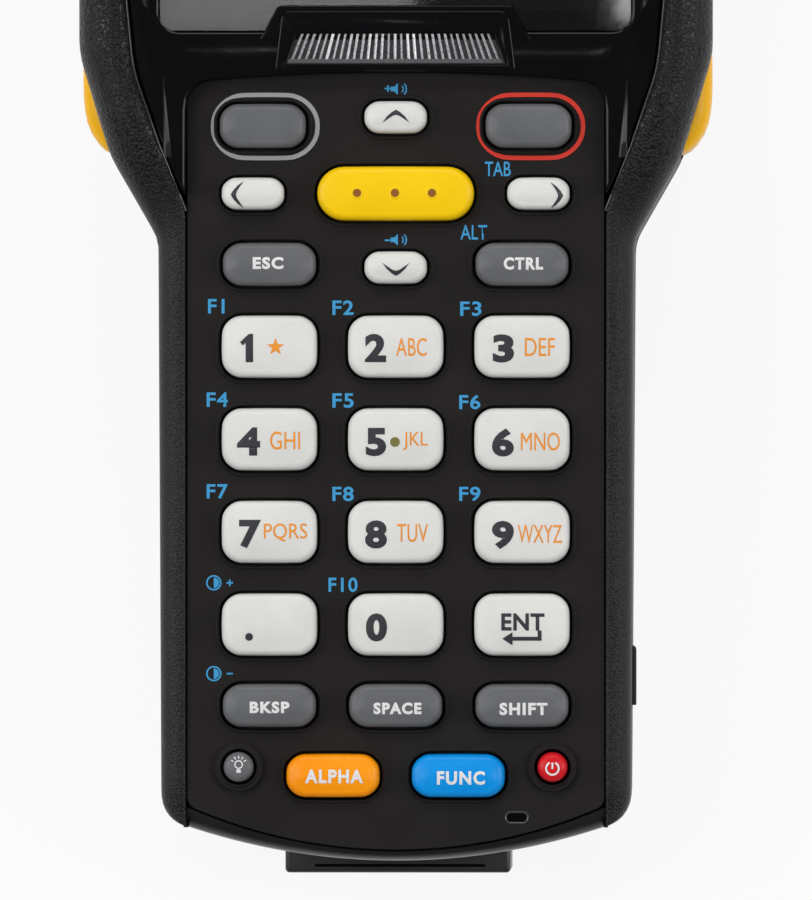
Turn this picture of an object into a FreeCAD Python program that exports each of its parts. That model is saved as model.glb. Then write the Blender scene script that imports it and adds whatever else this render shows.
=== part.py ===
import FreeCAD, Part
import functools
import math
import os
import re
import Sketcher

# Portable data terminal lying on its back. Millimetres, +Z out of the keypad,
# +Y toward the scan head, +X to the right of someone reading the keys.
# Heights named _up are measured along Y from the lower end of the dock lip.
V = FreeCAD.Vector
doc = FreeCAD.newDocument("terminal")
sheet = doc.addObject("Spreadsheet::Sheet", "dims")
# Overall and levels
overall_long = 190.4
split_z = 22
back_z = 8
rail_z = 39.6
crest_z = 43.4
seat_z = 37.4
ceiling_z = 35
floor_thick = 2.4
wall = 2.6
fit_gap = 0.1

# Plan outline
lower_end = 1.8
end_sag = 5.5
grip_half_low = 29.8
grip_half_high = 30.3
neck_up = 80.9
flare_inset = 3.9
flare_up = 91.4
shoulder_half = 40.2
shoulder_up = 104.5
crown_half = 39
crown_up = 170
crown_sag = 6
rear_up = 146
end_round = 5
neck_round = 6
flare_round = 14
crown_round = 9
rail_round = 1
back_round = 4

# Ramp between grip and shoulder
ramp_low_up = 83
ramp_high_up = 97

# Keypad panel
panel_half = 26.5
panel_low_up = 8.9
panel_low_sag = 5.6
panel_high_up = 100.8
panel_high_sag = 1.3
panel_thick = 1.6
panel_round = 3.2
panel_low_round = 1.6
key_gap = 0.35
collar_half = 3.05
collar_tall = 0.8

# Display bezel
leg_half = 26.75
leg_up = 86.2
bezel_mid_half = 30.1
bezel_mid_up = 93
bezel_turn_half = 33.4
bezel_turn_up = 102.5
bezel_half = 34.4
bezel_top_half_up = 113
bezel_top_up = 168
bezel_top_sag = 4
bezel_z = 41.4

# Display
window_half = 29.9
window_low_up = 107.4
window_high_up = 166
window_thick = 1.6
lcd_half = 28.4
lcd_low_up = 110
lcd_high_up = 165
lcd_thick = 3.9
lcd_drop = 0.2

# Badge
badge_low_half = 13.6
badge_high_half = 12.3
badge_low_up = 103.3
badge_high_up = 106.9
badge_thick = 0.8
badge_rise = 0.5
frame_margin = 1.7
backing_thick = 0.3

# Keys
key_rise = 2.4
flange_thick = 0.5
flange_over = 0.5
flange_drop = 0.2
membrane_drop = 1.0
membrane_thick = 0.7
board_thick = 1.6

# Key shapes
digit_wide = 12.2
digit_tall = 8
digit_round = 2
word_wide = 11.9
word_tall = 5.6
word_round = 2.2
soft_wide = 10.8
soft_tall = 5.5
arrow_wide = 7.9
arrow_tall = 4.1
arrow_round = 1.6
scan_wide = 19.9
scan_tall = 6.9
scan_round = 3.3
round_dia = 3.9
top_round = 0.9

# Key places
column_step = 16.06
digit_low_up = 31.9
row_step = 11.78
word_low_up = 21.6
lamp_out = 19.95
lamp_up = 13.8
shift_out = 7.97
shift_up = 12.7
escape_up = 77.7
soft_out = 16.9
soft_up = 95.3
side_arrow_out = 18.15
scan_up = 86.7
up_arrow_up = 96.4
down_arrow_up = 77.3

# Side triggers
trigger_half = 40.45
trigger_low_up = 91.8
trigger_high_up = 116.2
trigger_bend_up = 99
trigger_foot_half = 36.9
trigger_in = 34.4
trigger_low_z = 15
trigger_high_z = 31
trigger_gap = 0.4
trigger_travel = 1
trigger_round = 1.5
lip_over = 1.6
lip_in = 37.2
lip_low_up = 103.4
switch_deep = 4
switch_long = 5
switch_tall = 4
switch_up = 107.5

# Scan turret
turret_up = 164.4
turret_half = 31
facet_out = 26
turret_gap = 0.4
turret_room = 0.8
pivot_half = 5
pivot_run = 0.05
pivot_flange_half = 8
pivot_flange_thick = 1.6
shelf_z = 3.6
counter_half = 8.5
head_half = 7.5
head_low_z = 1
head_run = 0.2
stem_half = 1.95
stem_long = 10
port_half = 14.5
port_back = 9.5
port_low_z = 4.4
port_high_z = 18
pane_half = 15.4
pane_over = 1.2
pane_thick = 1.4
engine_deep = 11
engine_gap = 0.3

# Battery
bay_half = 22
bay_low_up = 40
bay_high_up = 103
bay_high_z = 20.5
cell_gap = 0.3
contact_half = 6
contact_deep = 2
contact_low_z = 13
contact_high_z = 18

# Battery cover
cover_half = 25
cover_low_up = 26
cover_high_up = 106
cover_thick = 1.9
cover_gap = 0.2
hinge_up = 107.2
hinge_z = 9.4
knuckle_half = 1.6
knuckle_in = 8
knuckle_out = 20
knuckle_gap = 0.4
pin_half = 0.75
pin_run = 0.05
pin_seat = 1.1
hinge_room = 2

# Cover latch
latch_travel = 3
button_half = 5
button_low_up = 31
button_long = 5
slide_half = 7.5
slide_long = 9
slide_thick = 1.2
tongue_half = 4
tongue_tip_up = 26.6
latch_gap = 0.3
latch_room = 1.1
button_out = 0.3

# Heel
heel_half = 20
heel_low_up = 4
heel_high_up = 22
pad_thick = 1.5
pad_inset = 2

# Dock
dock_half = 14.5
dock_deep = 6
dock_low_z = 12
dock_high_z = 28
dock_wall = 3.4
contact_set_deep = 0.8
contact_set_back = 5.2

# Headset jack
jack_up = 25
jack_z = 30
jack_half = 3
jack_bore_half = 1.8
jack_long = 9
jack_bore_long = 7
jack_face = 28.6
lid_low_up = 21.6
lid_high_up = 28.6
lid_half_tall = 4
lid_in = 29.4
lid_out = 30.5
lid_gap = 0.25
lid_seat = 29.1

# Boards, screws, sound
main_half = 22
main_low_up = 9.6
main_high_up = 128
main_thick = 1.6
boss_half = 3
boss_top_z = 33
screw_half = 1.25
screw_head_half = 2.6
screw_head_tall = 2.2
screw_hole_gap = 0.05
screw_sink = 3
low_screw_out = 25.5
low_screw_up = 14
high_screw_out = 35
high_screw_up = 128
speaker_half = 7
speaker_tall = 3.4
speaker_up = 118
speaker_out = 12
mic_out = 15.3
mic_up = 7.4
mic_wide = 3
mic_tall = 2.4
mic_slot_wide = 2.6
mic_slot_tall = 0.9
rear_room_half = 31
rear_room_low_up = 112
rear_room_high_up = 126
known = [name for name, value in list(globals().items()) if type(value) in (int, float)]
for row, alias in enumerate(known, 1):
    sheet.set(f"A{row}", alias.replace("_", " "))
    sheet.set(f"B{row}", str(globals()[alias]))
    sheet.setAlias(f"B{row}", alias)
doc.recompute()


def full(expression):
    """Turn plain size names into references to the sheet."""
    return re.sub(r"[a-z]\w+", lambda m: "dims." * (m.group() in known) + m.group(),
                  str(expression))


@functools.cache
def num(expression):
    """The value of an expression in size names."""
    return float(sheet.evalExpression(full(expression)))


def up(expression):
    """A height above the lower end as a Y coordinate of the part's frame."""
    return f"({expression}) - overall_long / 2"


def bind(thing, **properties):
    for name, expression in properties.items():
        thing.setExpression(name, full(expression))


def minus(expression):
    return f"-({expression})"


# Sketched features
def new_body(label):
    body = doc.addObject("PartDesign::Body", label)
    body.Label = label
    return body


def new_sketch(body, name, role="XY_Plane", offset="0"):
    """A sketch flat on one of the body's own origin planes, lifted by offset."""
    sketch = body.newObject("Sketcher::SketchObject", name)
    plane = [item for item in body.Origin.OriginFeatures if item.Role == role][0]
    sketch.AttachmentSupport = [(plane, "")]
    sketch.MapMode = "FlatFace"
    sketch.setExpression("AttachmentOffset.Base.z", full(offset))
    return sketch


def add_loop(sketch, corners):
    """Close a loop through corners (x, y) or (x, y, radius of the bowed side that follows)."""
    points = [V(num(corner[0]), num(corner[1]), 0) for corner in corners]
    geometry = []
    for index, corner in enumerate(corners):
        start = points[index]
        end = points[(index + 1) % len(points)]
        if len(corner) == 2:
            geometry.append(Part.LineSegment(start, end))
            continue
        chord = end - start
        radius = num(corner[2])
        sagitta = radius - math.sqrt(radius ** 2 - (chord.Length / 2) ** 2)
        outward = V(chord.y, -chord.x, 0).normalize()
        middle = (start + end) * 0.5 + outward * sagitta
        geometry.append(Part.Arc(start, middle, end))
    ids = sketch.addGeometry(geometry, False)
    for index, corner in enumerate(corners):
        after = ids[(index + 1) % len(ids)]
        sketch.addConstraint(Sketcher.Constraint("Coincident", ids[index], 2, after, 1))
        for axis, kind in enumerate(("DistanceX", "DistanceY")):
            value = points[index][axis]
            number = sketch.addConstraint(Sketcher.Constraint(kind, -1, 1, ids[index], 1, value))
            sketch.setExpression(f"Constraints[{number}]", full(corner[axis]))
        if len(corner) == 3:
            number = sketch.addConstraint(
                Sketcher.Constraint("Radius", ids[index], num(corner[2])))
            sketch.setExpression(f"Constraints[{number}]", full(corner[2]))


def add_circle(sketch, x, y, radius):
    circle = Part.Circle(V(num(x), num(y), 0), V(0, 0, 1), num(radius))
    place = sketch.addGeometry(circle, False)
    for kind, value in (("DistanceX", x), ("DistanceY", y)):
        number = sketch.addConstraint(Sketcher.Constraint(kind, -1, 1, place, 3, num(value)))
        sketch.setExpression(f"Constraints[{number}]", full(value))
    number = sketch.addConstraint(Sketcher.Constraint("Radius", place, num(radius)))
    sketch.setExpression(f"Constraints[{number}]", full(radius))


def add_box(sketch, x_low, x_high, y_low, y_high):
    add_loop(sketch, [(x_low, y_low), (x_high, y_low), (x_high, y_high), (x_low, y_high)])


def pad(body, sketch, length, name):
    feature = body.newObject("PartDesign::Pad", name)
    feature.Profile = sketch
    bind(feature, Length=length)
    doc.recompute()
    return feature


def pocket(body, sketch, length, name):
    """Cut along the sketch's own normal, and make sure that something was cut."""
    before = body.Shape.Volume
    feature = body.newObject("PartDesign::Pocket", name)
    feature.Profile = sketch
    feature.Reversed = True
    bind(feature, Length=length)
    doc.recompute()
    if not body.Shape.Volume < before - 1e-6:
        raise RuntimeError(f"{name} cuts nothing")
    return feature


def round_edges(body, name, radius, wanted):
    """Round every edge of the body's tip for which wanted(edge) is true."""
    base = body.Tip
    names = [f"Edge{i + 1}" for i, edge in enumerate(base.Shape.Edges) if wanted(edge)]
    if not names:
        raise RuntimeError(f"{name} finds no edge")
    feature = body.newObject("PartDesign::Fillet", name)
    feature.Base = (base, names)
    bind(feature, Radius=radius)
    doc.recompute()
    if "Invalid" in feature.State:
        raise RuntimeError(f"{name} fails on {len(names)} edges")
    return feature


def upright(edge):
    """Is the edge a straight one along Z?"""
    first, last = edge.Vertexes[0].Point, edge.Vertexes[-1].Point
    return abs(first.x - last.x) < 1e-4 and abs(first.y - last.y) < 1e-4 and edge.Length > 0.1


def near(edge, places, reach=0.05):
    """Does an upright edge stand on one of the places (x, y)?"""
    if not upright(edge):
        return False
    point = edge.Vertexes[0].Point
    return any(math.hypot(point.x - num(x), point.y - num(y)) < reach for x, y in places)


def at_level(edge, level):
    """Does the whole edge lie at this height?"""
    box = edge.BoundBox
    return abs(box.ZMin - num(level)) < 1e-3 and abs(box.ZMax - num(level)) < 1e-3


# Solid primitives
def block(name, x_low, x_high, y_low, y_high, z_low, z_high):
    item = doc.addObject("Part::Box", name)
    bind(item, Length=f"{x_high} - ({x_low})", Width=f"{y_high} - ({y_low})",
         Height=f"{z_high} - ({z_low})")
    item.setExpression("Placement.Base.x", full(x_low))
    item.setExpression("Placement.Base.y", full(y_low))
    item.setExpression("Placement.Base.z", full(z_low))
    return item


AXES = {"z": (V(0, 0, 1), 0), "x": (V(0, 1, 0), 90)}


def rod(name, radius, length, x, y, z, axis="z"):
    item = doc.addObject("Part::Cylinder", name)
    bind(item, Radius=radius, Height=length)
    direction, angle = AXES[axis]
    item.Placement = FreeCAD.Placement(V(0, 0, 0), FreeCAD.Rotation(direction, angle))
    item.setExpression("Placement.Base.x", full(x))
    item.setExpression("Placement.Base.y", full(y))
    item.setExpression("Placement.Base.z", full(z))
    return item


def joined(name, pieces):
    item = doc.addObject("Part::MultiFuse", name)
    item.Shapes = pieces
    return item


def less(name, base, tool):
    item = doc.addObject("Part::Cut", name)
    item.Base = base
    item.Tool = tool
    return item


nodes = {}


def node(label, thing):
    thing.Label = label
    nodes[label] = thing
    return thing


# Plan outlines
def arc_radius(half, sag):
    """Radius of an arc over a chord of twice half that rises by sag."""
    return f"(({half}) ^ 2 + ({sag}) ^ 2) / (2 * ({sag}))"


def both_sides(right):
    """Mirror a run of corners that climbs the right side, so that it comes down the left."""
    return right + [(minus(x), y) for x, y in reversed(right)]


def shell_corners(inset="0"):
    """Right side of the housings from the lower end to the shoulder."""
    return [(f"grip_half_low - {inset}", up(f"lower_end + end_sag + {inset}")),
            (f"grip_half_high - {inset}", up("neck_up")),
            (f"shoulder_half - flare_inset - {inset}", up("flare_up")),
            (f"shoulder_half - {inset}", up("shoulder_up"))]


def with_low_arc(right, half, sag):
    """Close the run at the lower end with a bowed side."""
    loop = both_sides(right)
    x, y = loop[-1]
    return loop[:-1] + [(x, y, arc_radius(half, sag))]


def front_outline():
    right = shell_corners() + [("crown_half", up("crown_up"))]
    loop = with_low_arc(right, "grip_half_low", "end_sag")
    place = right[-1]
    loop[len(right) - 1] = (place[0], place[1], arc_radius("crown_half", "crown_sag"))
    return loop


def rear_outline():
    right = shell_corners() + [("shoulder_half", up("rear_up"))]
    return with_low_arc(right, "grip_half_low", "end_sag")


def panel_outline(grow="0"):
    right = [(f"panel_half + {grow}", up("panel_low_up")),
             (f"panel_half + {grow}", up("panel_high_up"))]
    loop = both_sides(right)
    low_arc = arc_radius(f"panel_half + {grow}", f"panel_low_sag + {grow}")
    high_arc = arc_radius(f"panel_half + {grow}", f"panel_high_sag + {grow}")
    loop[1] = (*loop[1], high_arc)
    loop[3] = (*loop[3], low_arc)
    return loop


def bezel_outline(grow="0"):
    right = [(f"leg_half + {grow}", up(f"leg_up - {grow}")),
             (f"bezel_mid_half + {grow}", up("bezel_mid_up")),
             (f"bezel_turn_half + {grow}", up("bezel_turn_up")),
             (f"bezel_half + {grow}", up("bezel_top_half_up")),
             (f"bezel_half + {grow}", up("bezel_top_up"))]
    loop = both_sides(right)
    loop[4] = (*loop[4], arc_radius(f"bezel_half + {grow}", f"bezel_top_sag + {grow}"))
    return loop


def sides(x, y):
    return [(x, y), (minus(x), y)]


def panel_corner_rounds(body, name, grow="0"):
    wide = f"panel_half + {grow}"
    round_edges(body, name + "_high", f"panel_round + {grow}",
                lambda edge: near(edge, sides(wide, up("panel_high_up"))))
    round_edges(body, name + "_low", f"panel_low_round + {grow}",
                lambda edge: near(edge, sides(wide, up("panel_low_up"))))


def shell_corner_rounds(body, name):
    """Round the upright corners that both housings share."""
    for part, radius, x, y in (
            ("end", "end_round", "grip_half_low", up("lower_end + end_sag")),
            ("neck", "neck_round", "grip_half_high", up("neck_up")),
            ("flare", "flare_round", "shoulder_half - flare_inset", up("flare_up")),
            ("shoulder", "flare_round", "shoulder_half", up("shoulder_up"))):
        round_edges(body, f"{name}_{part}", radius, lambda edge: near(edge, sides(x, y)))


# Front housing
front = new_body("front_housing")
outline = new_sketch(front, "front_outline", offset="split_z")
add_loop(outline, front_outline())
pad(front, outline, "crest_z - split_z", "front_pad")
shell_corner_rounds(front, "front_round")
round_edges(front, "front_round_crown", "crown_round",
            lambda edge: near(edge, sides("crown_half", up("crown_up"))))
ramp = new_sketch(front, "front_ramp", "YZ_Plane", "-shoulder_half - 5")
past = up("-5")
over = "crest_z + 5"
add_loop(ramp, [(past, "rail_z"), (up("ramp_low_up"), "rail_z"), (up("ramp_high_up"), "crest_z"),
                (up("ramp_high_up"), over), (past, over)])
pocket(front, ramp, "2 * shoulder_half + 10", "front_ramp_cut")


def top_rim(edge):
    """Is this an edge of the top face, above the rails' rounding?"""
    box = edge.BoundBox
    along = abs(box.ZMin - num("rail_z")) < 1e-3 or box.ZMin > num("rail_z") - 1e-3
    return along and not (box.XLength > 50 and box.YLength < 1e-3)


round_edges(front, "front_rim", "rail_round", top_rim)

# The hollow for boards and display, and the openings above it
hollow = new_sketch(front, "front_hollow", offset="split_z")
add_loop(hollow, with_low_arc(shell_corners("wall") + [("shoulder_half - wall", up("main_high_up"))],
                              "grip_half_low - wall", "end_sag"))
pocket(front, hollow, "ceiling_z - split_z", "front_hollow_cut")
head_room = new_sketch(front, "front_head_room", offset="split_z + floor_thick")
add_box(head_room, "-shoulder_half + wall", "shoulder_half - wall", up("main_high_up - 1"),
        up("crown_up - wall"))
pocket(front, head_room, "ceiling_z - split_z - floor_thick", "front_head_room_cut")
flange_room = new_sketch(front, "front_flange_room", offset="split_z + floor_thick")
add_circle(flange_room, "0", up("turret_up"), "pivot_flange_half + 0.3")
pocket(front, flange_room, "pivot_flange_thick + 1", "front_flange_room_cut")
panel_seat = new_sketch(front, "front_panel_seat", offset="seat_z")
add_loop(panel_seat, panel_outline("fit_gap"))
pocket(front, panel_seat, "crest_z - seat_z", "front_panel_seat_cut")
bezel_seat = new_sketch(front, "front_bezel_seat", offset="seat_z")
add_loop(bezel_seat, bezel_outline("fit_gap"))
pocket(front, bezel_seat, "crest_z - seat_z", "front_bezel_seat_cut")
openings = new_sketch(front, "front_openings", offset="ceiling_z - 0.5")
add_box(openings, "-panel_half + 2", "panel_half - 2", up("panel_low_up"),
        up("panel_high_up - 1.5"))
add_box(openings, "-lcd_half - 0.5", "lcd_half + 0.5", up("lcd_low_up - 0.5"),
        up("lcd_high_up + 0.5"))
add_box(openings, "mic_out - mic_wide / 2 - fit_gap", "mic_out + mic_wide / 2 + fit_gap",
        up("mic_up - mic_tall / 2 - fit_gap"), up("mic_up + mic_tall / 2 + fit_gap"))
pocket(front, openings, "seat_z - ceiling_z + 1", "front_openings_cut")


def screw_places():
    low = sides("low_screw_out", up("low_screw_up"))
    return low + sides("high_screw_out", up("high_screw_up"))


bosses = new_sketch(front, "front_bosses", offset="split_z")
for x, y in screw_places():
    add_circle(bosses, x, y, "boss_half")
pad(front, bosses, "boss_top_z - split_z", "front_boss_pad")
threads = new_sketch(front, "front_threads", offset="split_z")
for x, y in screw_places():
    add_circle(threads, x, y, "screw_half + screw_hole_gap")
add_circle(threads, "0", up("turret_up"), "pivot_half + screw_hole_gap")
pocket(front, threads, "boss_top_z - split_z - 1", "front_thread_cut")


def trigger_window(body, name, low_z, high_z):
    """Let the trigger's bar through the wall, and its lip in behind the wall."""
    bar = new_sketch(body, name + "_bar", offset=f"max({low_z}; trigger_low_z - trigger_gap)")
    lip = new_sketch(body, name + "_lip",
                     offset=f"max({low_z}; trigger_low_z - lip_over - trigger_gap)")
    for way in ("", "-1 * "):
        add_box(bar, f"{way}(trigger_in - trigger_travel - 0.2)", f"{way}(shoulder_half + 3)",
                up("trigger_low_up - trigger_gap"), up("trigger_high_up + trigger_gap"))
        add_box(lip, f"{way}(trigger_in - trigger_travel - 0.2)", f"{way}(lip_in + trigger_gap)",
                up("lip_low_up - trigger_gap"),
                up("trigger_high_up + lip_over + trigger_gap"))
    pocket(body, bar, f"min({high_z}; trigger_high_z + trigger_gap) - "
           f"max({low_z}; trigger_low_z - trigger_gap)", name + "_bar_cut")
    pocket(body, lip, f"min({high_z}; trigger_high_z + lip_over + trigger_gap) - "
           f"max({low_z}; trigger_low_z - lip_over - trigger_gap)", name + "_lip_cut")


def dock_notch(body, name, low_z, high_z):
    notch = new_sketch(body, name, offset=low_z)
    add_box(notch, "-dock_half - fit_gap", "dock_half + fit_gap", up("-2"),
            up("dock_deep + fit_gap"))
    pocket(body, notch, f"{high_z} - ({low_z})", name + "_cut")


trigger_window(front, "front_trigger", "split_z", "crest_z")
dock_notch(front, "front_dock", "split_z", "dock_high_z + fit_gap")
lid_seat = new_sketch(front, "front_lid_seat", offset="jack_z - lid_half_tall - lid_gap")
add_box(lid_seat, "lid_seat", "lid_out + 2", up("lid_low_up - lid_gap"),
        up("lid_high_up + 2.5 * lid_gap"))
pocket(front, lid_seat, "2 * (lid_half_tall + lid_gap)", "front_lid_seat_cut")
jack_hole = new_sketch(front, "front_jack_hole", "YZ_Plane", "grip_half_low - 2 * wall")
add_circle(jack_hole, up("jack_up"), "jack_z", "jack_half + fit_gap")
pocket(front, jack_hole, "2 * wall + 2", "front_jack_hole_cut")
node("front_housing", front)

# Rear housing with battery bay, heel and the hollow round the scan turret
rear = new_body("rear_housing")
outline = new_sketch(rear, "rear_outline", offset="back_z")
add_loop(outline, rear_outline())
pad(rear, outline, "split_z - back_z", "rear_pad")
shell_corner_rounds(rear, "rear_round")
round_edges(rear, "rear_rim", "back_round",
            lambda edge: at_level(edge, "back_z") and edge.BoundBox.YMax < num(up("rear_up - 1")))
heel = new_sketch(rear, "rear_heel", offset="pad_thick")
add_box(heel, "-heel_half", "heel_half", up("heel_low_up"), up("heel_high_up"))
pad(rear, heel, "back_z - pad_thick + 1", "rear_heel_pad")
turret_room = new_sketch(rear, "rear_turret_room", offset="0")
add_circle(turret_room, "0", up("turret_up"), "turret_half + turret_room")
pocket(rear, turret_room, "split_z", "rear_turret_room_cut")
bay = new_sketch(rear, "rear_bay", offset="back_z")
add_box(bay, "-bay_half", "bay_half", up("bay_low_up"), up("bay_high_up"))
pocket(rear, bay, "bay_high_z - back_z", "rear_bay_cut")
contact_seat = new_sketch(rear, "rear_contact_seat", offset="contact_low_z - fit_gap")
add_box(contact_seat, "-contact_half - fit_gap", "contact_half + fit_gap",
        up("bay_high_up - 1"), up("bay_high_up + contact_deep + fit_gap"))
pocket(rear, contact_seat, "contact_high_z - contact_low_z + 2 * fit_gap",
       "rear_contact_seat_cut")
cover_seat = new_sketch(rear, "rear_cover_seat", offset="back_z")
add_box(cover_seat, "-cover_half - cover_gap", "cover_half + cover_gap",
        up("cover_low_up - cover_gap"), up("cover_high_up + cover_gap"))
pocket(rear, cover_seat, "cover_thick + 0.1", "rear_cover_seat_cut")
latch_room = new_sketch(rear, "rear_latch_room", offset="back_z")
add_box(latch_room, "-slide_half - 1.5", "slide_half + 1.5", up("cover_low_up - cover_gap"),
        up("bay_low_up + 1"))
pocket(rear, latch_room, "cover_thick + latch_gap + slide_thick + latch_room",
       "rear_latch_room_cut")
strike = new_sketch(rear, "rear_strike", offset="back_z + cover_thick + 0.1")
add_box(strike, "-tongue_half - 0.4", "tongue_half + 0.4",
        up("tongue_tip_up - latch_travel - 0.6"), up("cover_low_up"))
pocket(rear, strike, "latch_gap + slide_thick + 0.4", "rear_strike_cut")
hinge_room = new_sketch(rear, "rear_hinge_room", offset="back_z")
add_box(hinge_room, "-knuckle_out - knuckle_gap", "knuckle_out + knuckle_gap",
        up("hinge_up - hinge_room"), up("hinge_up + hinge_room"))
pocket(rear, hinge_room, "hinge_z - back_z + hinge_room", "rear_hinge_room_cut")
knuckle = new_sketch(rear, "rear_knuckle", "YZ_Plane", "-knuckle_in + knuckle_gap")
add_circle(knuckle, up("hinge_up"), "hinge_z", "knuckle_half")
pad(rear, knuckle, "2 * (knuckle_in - knuckle_gap)", "rear_knuckle_pad")
web = new_sketch(rear, "rear_web", "YZ_Plane", "-knuckle_in + knuckle_gap")
add_box(web, up("hinge_up + knuckle_half / 2"), up("hinge_up + hinge_room + 1"), "back_z",
        "hinge_z + hinge_room")
pad(rear, web, "2 * (knuckle_in - knuckle_gap)", "rear_web_pad")
pin_hole = new_sketch(rear, "rear_pin_hole", "YZ_Plane", "-knuckle_out - knuckle_gap - pin_seat")
add_circle(pin_hole, up("hinge_up"), "hinge_z", "pin_half + pin_run")
pocket(rear, pin_hole, "2 * (knuckle_out + knuckle_gap + pin_seat)", "rear_pin_hole_cut")
rear_room = new_sketch(rear, "rear_room", offset="back_z + floor_thick")
add_box(rear_room, "-rear_room_half", "rear_room_half", up("rear_room_low_up"),
        up("rear_room_high_up"))
pocket(rear, rear_room, "split_z - back_z - floor_thick", "rear_room_cut")
screw_holes = new_sketch(rear, "rear_screw_holes", offset="back_z")
screw_sinks = new_sketch(rear, "rear_screw_sinks", offset="back_z")
for x, y in screw_places():
    add_circle(screw_holes, x, y, "screw_half + screw_hole_gap")
    add_circle(screw_sinks, x, y, "screw_head_half + 0.3")
pocket(rear, screw_holes, "split_z - back_z", "rear_screw_hole_cut")
pocket(rear, screw_sinks, "screw_sink", "rear_screw_sink_cut")
trigger_window(rear, "rear_trigger", "back_z", "split_z")
dock_notch(rear, "rear_dock", "dock_low_z - fit_gap", "split_z")
node("rear_housing", rear)

# Display bezel
bezel = new_body("display_bezel")
outline = new_sketch(bezel, "bezel_outline", offset="seat_z")
add_loop(outline, bezel_outline())
pad(bezel, outline, "bezel_z - seat_z", "bezel_pad")
badge_frame = new_sketch(bezel, "bezel_badge_frame", offset="bezel_z - 0.5")
add_loop(badge_frame, both_sides(
    [("badge_low_half + frame_margin", up("badge_low_up - frame_margin / 2")),
     ("badge_high_half + frame_margin", up("badge_high_up + 0.5"))]))
pad(bezel, badge_frame, "0.5 + badge_rise", "bezel_badge_frame_pad")
keypad_cut = new_sketch(bezel, "bezel_keypad_cut", offset="seat_z")
add_loop(keypad_cut, panel_outline("fit_gap"))
pocket(bezel, keypad_cut, "bezel_z - seat_z + 2", "bezel_keypad_pocket")
window_seat = new_sketch(bezel, "bezel_window_seat", offset="seat_z")
add_box(window_seat, "-window_half - fit_gap", "window_half + fit_gap",
        up("window_low_up - fit_gap"), up("window_high_up + fit_gap"))
pocket(bezel, window_seat, "bezel_z - seat_z + 2", "bezel_window_pocket")
badge_seat = new_sketch(bezel, "bezel_badge_seat",
                        offset="bezel_z + badge_rise - badge_thick - backing_thick")


def badge_corners(grow="0"):
    return both_sides([(f"badge_low_half + {grow}", up(f"badge_low_up - {grow}")),
                       (f"badge_high_half + {grow}", up(f"badge_high_up + {grow}"))])


add_loop(badge_seat, badge_corners("fit_gap"))
pocket(bezel, badge_seat, "badge_thick + backing_thick + 1", "bezel_badge_pocket")
node("display_bezel", bezel)


def plate(label, corners, low_z, thickness):
    """A flat piece cut to an outline."""
    body = new_body(label)
    sketch = new_sketch(body, label + "_outline", offset=low_z)
    add_loop(sketch, corners)
    pad(body, sketch, thickness, label + "_thickness")
    node(label, body)
    return body


plate("badge_backing", badge_corners(), "bezel_z + badge_rise - badge_thick - backing_thick",
      "backing_thick")
plate("badge_window", badge_corners(), "bezel_z + badge_rise - badge_thick", "badge_thick")
node("display_window", block(
    "window", "-window_half", "window_half", up("window_low_up"), up("window_high_up"),
    "bezel_z - window_thick - 0.1", "bezel_z - 0.1"))
lcd_top = "bezel_z - window_thick - 0.1 - lcd_drop"
node("lcd_module", block(
    "lcd", "-lcd_half", "lcd_half", up("lcd_low_up"), up("lcd_high_up"),
    f"{lcd_top} - lcd_thick", lcd_top))


# Keys, each with the hole that its outline makes in the panel
def barrel(x, y, wide, tall, grow="0"):
    """Four corners of a key with bowed sides and straight top and bottom."""
    x_low = f"({x}) - ({wide}) / 2 - {grow}"
    x_high = f"({x}) + ({wide}) / 2 + {grow}"
    y_low = f"({y}) - ({tall}) / 2 - {grow}"
    y_high = f"({y}) + ({tall}) / 2 + {grow}"
    return [(x_low, y_low), (x_high, y_low), (x_high, y_high), (x_low, y_high)]


def key_table():
    """Name, place and size names of every key with corners."""
    table = []
    for row in range(3):
        for column in range(3):
            name = f"key_{1 + 3 * row + column}"
            table.append((name, f"column_step * {column - 1}",
                          f"digit_low_up + row_step * {3 - row}", "digit"))
    for column, name in enumerate(("key_dot", "key_0", "key_enter")):
        table.append((name, f"column_step * {column - 1}", "digit_low_up", "digit"))
    for column, name in enumerate(("key_backspace", "key_space", "key_shift")):
        table.append((name, f"column_step * {column - 1}", "word_low_up", "word"))
    table += [("key_alpha", "-shift_out", "shift_up", "word"),
              ("key_function", "shift_out", "shift_up", "word"),
              ("key_escape", "-column_step", "escape_up", "word"),
              ("key_control", "column_step", "escape_up", "word"),
              ("key_soft_left", "-soft_out", "soft_up", "soft"),
              ("key_soft_right", "soft_out", "soft_up", "soft"),
              ("key_up", "0", "up_arrow_up", "arrow"),
              ("key_down", "0", "down_arrow_up", "arrow"),
              ("key_left", "-side_arrow_out", "scan_up", "arrow"),
              ("key_right", "side_arrow_out", "scan_up", "arrow"),
              ("key_scan", "0", "scan_up", "scan")]
    return table


ROUNDS = {"digit": "digit_round", "word": "word_round", "soft": "word_round",
          "arrow": "arrow_round", "scan": "scan_round"}
key_low = "seat_z - flange_drop - flange_thick"
panel_top = "seat_z + panel_thick"
key_top = f"{panel_top} + key_rise"


def key(label, x, y, shape):
    body = new_body(label)
    sketch = new_sketch(body, label + "_outline", offset=key_low)
    corners = barrel(x, up(y), f"{shape}_wide", f"{shape}_tall")
    add_loop(sketch, corners)
    pad(body, sketch, f"{key_top} - ({key_low})", label + "_cap")
    round_edges(body, label + "_corners", ROUNDS[shape], lambda edge: near(edge, corners))
    round_edges(body, label + "_rim", "top_round", lambda edge: at_level(edge, key_top))
    flange = new_sketch(body, label + "_flange", offset=key_low)
    add_loop(flange, barrel(x, up(y), f"{shape}_wide", f"{shape}_tall", "flange_over"))
    pad(body, flange, "flange_thick", label + "_flange_pad")
    node(label, body)


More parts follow.
